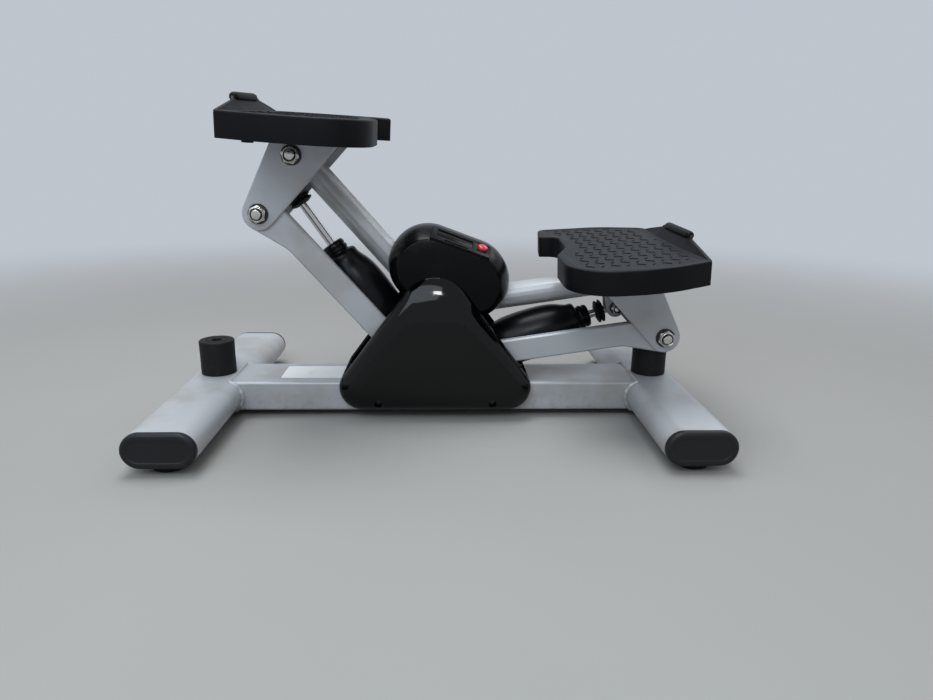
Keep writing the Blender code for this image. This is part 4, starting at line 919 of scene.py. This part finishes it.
for word, side in SIDES.items():
    pivot = upper_pivot(side)
    lower = shift(pivot.x + side * LINK_PIVOT_X, 0, pivot.z - PIVOT_RISE)
    eye = ROCKER @ rocker_eye(side)
    through_bolt("upper_pivot_bolt_" + word, PIVOT_RADIUS, shift(*pivot), BRACKET_FRONT, BRACKET_REAR, 0.3)
    through_bolt("lower_pivot_bolt_" + word, PIVOT_RADIUS, lower, BRACKET_FRONT, BRACKET_REAR, 0.9)
    through_bolt("damper_bolt_" + word, DAMPER_BOLT_RADIUS, shift(eye.x, 0, eye.z), RUN_DEPTH - LUG_SIDE,
                 RUN_DEPTH + LUG_SIDE, 0.5)


# Welds of the rocker's lugs

def lug_welds(word, side):
    """A bead where each lug's outer face meets the round arm."""
    ahead = along_arm(side)
    down = Vector((side * sin(ARM_ANGLE), 0, -cos(ARM_ANGLE)))
    middle = ahead * (ARM_LENGTH - EYE_SETBACK) + down * 13.1 * MM + RUN
    for end, out in ENDS.items():
        path = [middle + ahead * 1.35 * MM * k + Vector((0, out * 10.7 * MM, 0)) for k in range(-9, 10)]
        cord = placed(bead(path, 1.7 * MM), ROCKER)
        piece(f"lug_weld_{word}_{end}", cord, "rocker", "silver_paint", corner=60)


for word, side in SIDES.items():
    lug_welds(word, side)


# Pedals

PEDAL_WIDTH = 170 * MM
PEDAL_LENGTH = 300 * MM
PEDAL_OFFSET = 21.2 * MM
PEDAL_RISE = 47.6 * MM
PEDAL_CANT = radians(3.1)
PEDAL_PITCH = radians(3.3)
FIELD_DEPTH = 0.7 * MM
RIB_HALF = 1.2 * MM

# Corners (x, y, radius) as shares of the pedal's width and length
PEDAL_PLAN = [(-0.49, -0.54, 0.33), (0.118, -0.53, 0.8), (0.47, -0.437, 0.024), (0.412, 0.357, 0.12),
              (0.047, 0.447, 0.53), (-0.488, 0.437, 0.08), (-0.524, 0.237, 0.024), (-0.376, 0.215, 0.106),
              (-0.385, -0.027, 0.176), (-0.492, -0.184, 0.14)]
OUTER_NEAR, OUTER_FAR = PEDAL_PLAN[2], PEDAL_PLAN[3]


def deck_place(side):
    """Where a pedal's deck lies, with X outward, Y away from the front and Z up."""
    return (shift(*upper_pivot(side)) @ shift(-side * PEDAL_OFFSET, 0, PEDAL_RISE)
            @ spun(-side * PEDAL_CANT, "Y") @ spun(PEDAL_PITCH, "X") @ Matrix.Diagonal((side, 1, 1, 1)))


def outer_edge(y):
    """How far out the deck's straight outer edge lies at a place along it."""
    share = (y / PEDAL_LENGTH - OUTER_NEAR[1]) / (OUTER_FAR[1] - OUTER_NEAR[1])
    return PEDAL_WIDTH * (OUTER_NEAR[0] + (OUTER_FAR[0] - OUTER_NEAR[0]) * share)


def pedal_plan(inset=0.0):
    """The deck's outline, or a line that runs so far inside it."""
    points = [Vector((x * PEDAL_WIDTH, y * PEDAL_LENGTH)) for x, y, radius in PEDAL_PLAN]
    corners = []
    for index, here in enumerate(points):
        come = (here - points[index - 1]).normalized()
        go = (points[(index + 1) % len(points)] - here).normalized()
        inward = Vector((-come.y - go.y, come.x + go.x))
        hollow = come.x * go.y - come.y * go.x < 0
        place = here + inward * (2 * inset / inward.length_squared)
        radius = PEDAL_PLAN[index][2] * PEDAL_WIDTH + inset * (0.6 if hollow else -1)
        corners.append((*place, max(radius, 3 * MM)))
    return cornered(corners, 10)


def drawn_up(shape, profile):
    """A flat face that looks up, moved to the first height, then drawn through rings of (inset, height)."""
    (inset, height), *profile = profile
    bmesh.ops.translate(shape, vec=(0, 0, height), verts=shape.verts)
    face = shape.faces[:][0]
    for next_inset, next_height in profile:
        if next_inset == inset:
            face = bmesh.ops.extrude_discrete_faces(shape, faces=[face])["faces"][0]
            bmesh.ops.translate(shape, vec=(0, 0, next_height - height), verts=face.verts)
        else:
            bmesh.ops.inset_region(shape, faces=[face], thickness=next_inset - inset,
                                   depth=next_height - height, use_even_offset=True, use_boundary=True)
        inset, height = next_inset, next_height
    return shape


def drawn_down(shape, profile):
    """A closed shape drawn down from its flat top through rings of (inset, height)."""
    drawn_up(shape, [(inset, -height) for inset, height in profile])
    bmesh.ops.edgeloop_fill(shape, edges=[edge for edge in shape.edges if edge.is_boundary])
    bmesh.ops.recalc_face_normals(shape, faces=shape.faces)
    return placed(shape, Matrix.Diagonal((1, 1, -1, 1)))


def pedal_shell():
    """Deck and skirt in one moulding: a smooth border round a slightly sunk field."""
    shell = drawn_up(pedal_plan(), mm((0, -28), (0, -2.4), (0.2, -1.5), (0.7, -0.75), (1.6, -0.2), (2.7, 0)))
    field = drawn_down(pedal_plan(10.2 * MM), mm((0, 4), (0, 0.05), (0.5, -0.3), (1.2, -0.65), (1.8, -0.7)))
    return carved(walled(shell, 3 * MM), field)


def tread_line():
    """The closed line inside the border that the strokes keep to."""
    plan = pedal_plan(13 * MM)
    line = [vert.co.xy for vert in plan.faces[:][0].verts]
    plan.free()
    return line


def within(point, line):
    """Whether a point lies inside a closed line."""
    x, y = point
    crossings = [(a.y > y) != (b.y > y) and x < a.x + (b.x - a.x) * (y - a.y) / (b.y - a.y)
                 for a, b in zip(line, line[1:] + line[:1])]
    return sum(crossings) % 2 == 1


def tread():
    """Raised strokes of the tread, every second one turned across the others."""
    strokes = []
    line = tread_line()
    for row in range(-11, 12):
        for column in range(-7, 8):
            slanted = (row + column) % 2 == 0
            heading = radians(-35 if slanted else 60)
            length = (11 if slanted else 8.5) * MM
            x, y = column * 14.5 * MM, row * 16 * MM
            ends = [(x + cos(heading) * length * k / 2, y + sin(heading) * length * k / 2) for k in (-1, 1)]
            if all(within(end, line) for end in ends):
                stroke = block((-length / 2, -1 * MM, -1 * MM), (length / 2, 1 * MM, 0.8 * MM), 0.4 * MM)
                strokes.append(placed(stroke, shift(x, y, -FIELD_DEPTH), spun(heading, "Z")))
    return together(*strokes)


def ribs():
    """The crossed ribs under the deck, trimmed to the inside of the skirt."""
    core = drawn_down(pedal_plan(2.6 * MM), mm((0, -2.4), (0, -14)))
    reach, low, high = 0.2, -14 * MM, 9 * MM
    made = [block((x - RIB_HALF, -reach, low), (x + RIB_HALF, reach, high))
            for x in (-PEDAL_WIDTH / 6, PEDAL_WIDTH / 6)]
    for share in (-0.3, -0.1, 0.1, 0.3):
        y = share * PEDAL_LENGTH
        made.append(block((-reach, y - RIB_HALF, low), (reach, y + RIB_HALF, high)))
    return together(*[carved(rib, core.copy(), operation="INTERSECT") for rib in made])


def guard():
    """The side guard: a leaning wall with sloping ends, and a thick roll along its top."""
    rings = []
    for share, rise in ((-0.432, 0.0), (-0.36, 0.19), (-0.27, 0.42), (-0.19, 0.63), (-0.18, 0.8),
                        (-0.17, 0.86), (0.12, 0.86), (0.13, 0.8), (0.14, 0.66), (0.2, 0.45), (0.27, 0.2),
                        (0.318, 0.0)):
        y = share * PEDAL_LENGTH
        outer, inner = [], []
        for k in range(7):
            t = k / 6
            x = outer_edge(y) - 0.6 * MM + 9 * MM * rise * t ** 1.3
            z = -2 * MM + (17.5 * MM * rise + 2 * MM) * t
            thick = 3.4 * MM + 5 * MM * (1 - t) ** 2 * min(rise * 2, 1)
            outer.append((x, y, z))
            inner.append((x - thick, y, z))
        rings.append(outer + inner[::-1])
    wall = lofted(rings)
    rings = []
    for share, size in ((-0.169, 0.4), (-0.166, 0.72), (-0.159, 0.93), (-0.149, 1), (0.076, 1), (0.086, 0.93),
                        (0.093, 0.72), (0.096, 0.4)):
        y = share * PEDAL_LENGTH
        x = outer_edge(y) + 5 * MM
        radius = 5.6 * MM
        rings.append([(x + cos(a * pi / 14) * radius * size, y, 14 * MM + sin(a * pi / 14) * radius * size)
                      for a in range(28)])
    return together(wall, lofted(rings))


def pedal(word, side):
    """A pedal in one moulding, with the boss under its near outer corner."""
    boss = turned(mm((0, 0), (6.5, 0), (6.5, -12), (6, -12.6), (0, -12.6)), 32)
    placed(boss, shift(*mm((48, -120, -18.5))[0]))
    whole = together(pedal_shell(), tread(), ribs(), guard(), boss)
    dress("pedal_" + word, "pedal_moulding_" + word, placed(whole, deck_place(side)))


for word, side in SIDES.items():
    pedal(word, side)

for node in frame["nodes"]:
    if node not in REPLACED:
        skin(node, "dark_steel" if node.startswith("cover_screw") else None)


# Camera, light and floor

def camera():
    """The photograph's camera: a phone held low in front of the machine."""
    yaw, pitch, roll = radians(2.07), radians(15.84), radians(0.59)
    ahead = Vector((sin(yaw) * cos(pitch), cos(yaw) * cos(pitch), -sin(pitch)))
    level = Vector((cos(yaw), -sin(yaw), 0))
    upright = level.cross(ahead)
    across = level * cos(roll) + upright * sin(roll)
    over = upright * cos(roll) - level * sin(roll)
    lens = bpy.data.cameras.new("camera")
    lens.sensor_width = 36
    lens.lens = 26.41
    lens.clip_start = 0.01
    eye = linked("camera", lens)
    eye.matrix_world = Matrix((across, over, -ahead)).transposed().to_4x4()
    eye.location = (0.0093, -0.8862, 0.3322)
    SCENE.camera = eye


def panel(name, place, target, width, height, power, colour):
    """A rectangular lamp that looks at its target."""
    light = bpy.data.lights.new(name, "AREA")
    light.shape = "RECTANGLE"
    light.size = width
    light.size_y = height
    light.energy = power
    light.color = colour
    holder = linked(name, light)
    holder.location = place
    holder.rotation_euler = (Vector(target) - Vector(place)).to_track_quat("-Z", "Y").to_euler()


BACKDROP = (0.52, 0.56, 0.615)


def world():
    """Soft light, stronger from above, and a pale backdrop for the camera, gloss and glass."""
    sky = bpy.data.worlds.new("studio")
    sky.use_nodes = True
    SCENE.world = sky
    nodes, links = sky.node_tree.nodes, sky.node_tree.links
    backdrop = nodes["Background"]
    backdrop.inputs["Color"].default_value = (*BACKDROP, 1)
    dome = nodes.new("ShaderNodeBackground")
    dome.inputs["Color"].default_value = (0.92, 0.96, 1.0, 1)
    place = nodes.new("ShaderNodeTexCoord")
    height = nodes.new("ShaderNodeSeparateXYZ")
    graded = nodes.new("ShaderNodeMapRange")
    for socket, value in (("From Min", 0.0), ("From Max", 0.8), ("To Min", 0.1), ("To Max", 0.62)):
        graded.inputs[socket].default_value = value
    links.new(place.outputs["Generated"], height.inputs[0])
    links.new(height.outputs[2], graded.inputs["Value"])
    links.new(graded.outputs[0], dome.inputs["Strength"])
    path = nodes.new("ShaderNodeLightPath")
    shown = path.outputs["Is Camera Ray"]
    for ray in ("Is Transmission Ray", "Is Glossy Ray"):
        either = nodes.new("ShaderNodeMath")
        either.operation = "MAXIMUM"
        links.new(shown, either.inputs[0])
        links.new(path.outputs[ray], either.inputs[1])
        shown = either.outputs[0]
    mix = nodes.new("ShaderNodeMixShader")
    links.new(shown, mix.inputs[0])
    links.new(dome.outputs[0], mix.inputs[1])
    links.new(backdrop.outputs[0], mix.inputs[2])
    links.new(mix.outputs[0], nodes["World Output"].inputs["Surface"])


def floor():
    """A pale floor that fades into the backdrop far from the machine."""
    shape = bmesh.new()
    bmesh.ops.create_circle(shape, cap_ends=True, segments=96, radius=9)
    ground = linked("floor", meshed(shape, "floor"))
    paint = Finish("floor", Specular_IOR_Level=0.15)
    paint.done(paint.blend(paint.noise(2.5), (0.325, 0.32, 0.31), (0.35, 0.345, 0.335)), 0.9)
    away = paint.node("ShaderNodeVectorMath", {"operation": "LENGTH"}, {0: paint.coords}, "Value")
    glow = paint.node("ShaderNodeEmission", inputs={"Color": BACKDROP})
    faded = paint.node("ShaderNodeMixShader", inputs={
        0: away.between(0.6, 2.2), 1: Wire(paint, paint.shader.outputs[0]), 2: glow})
    paint.tree.links.new(faded.socket, paint.tree.nodes["Material Output"].inputs["Surface"])
    ground.data.materials.append(paint.material)


camera()
world()
floor()
panel("ceiling_panel", (-0.2, 0.05, 2.0), (0, 0, 0.15), 1.1, 1.1, 26, (0.95, 0.98, 1.0))
panel("sky_panel", (-0.7, -1.6, 1.5), (0, 0, 0.15), 1.8, 1.2, 18, (0.78, 0.89, 1.0))
panel("rear_panel", (1.3, 1.2, 1.7), (0, 0, 0.15), 0.9, 0.9, 5, (0.95, 0.98, 1.0))
panel("sun_lamp", (0.03, -1.35, 1.08), (0, 0, 0.18), 0.15, 0.15, 2.6, (1.0, 0.98, 0.94))
SCENE.view_settings.view_transform = "Standard"
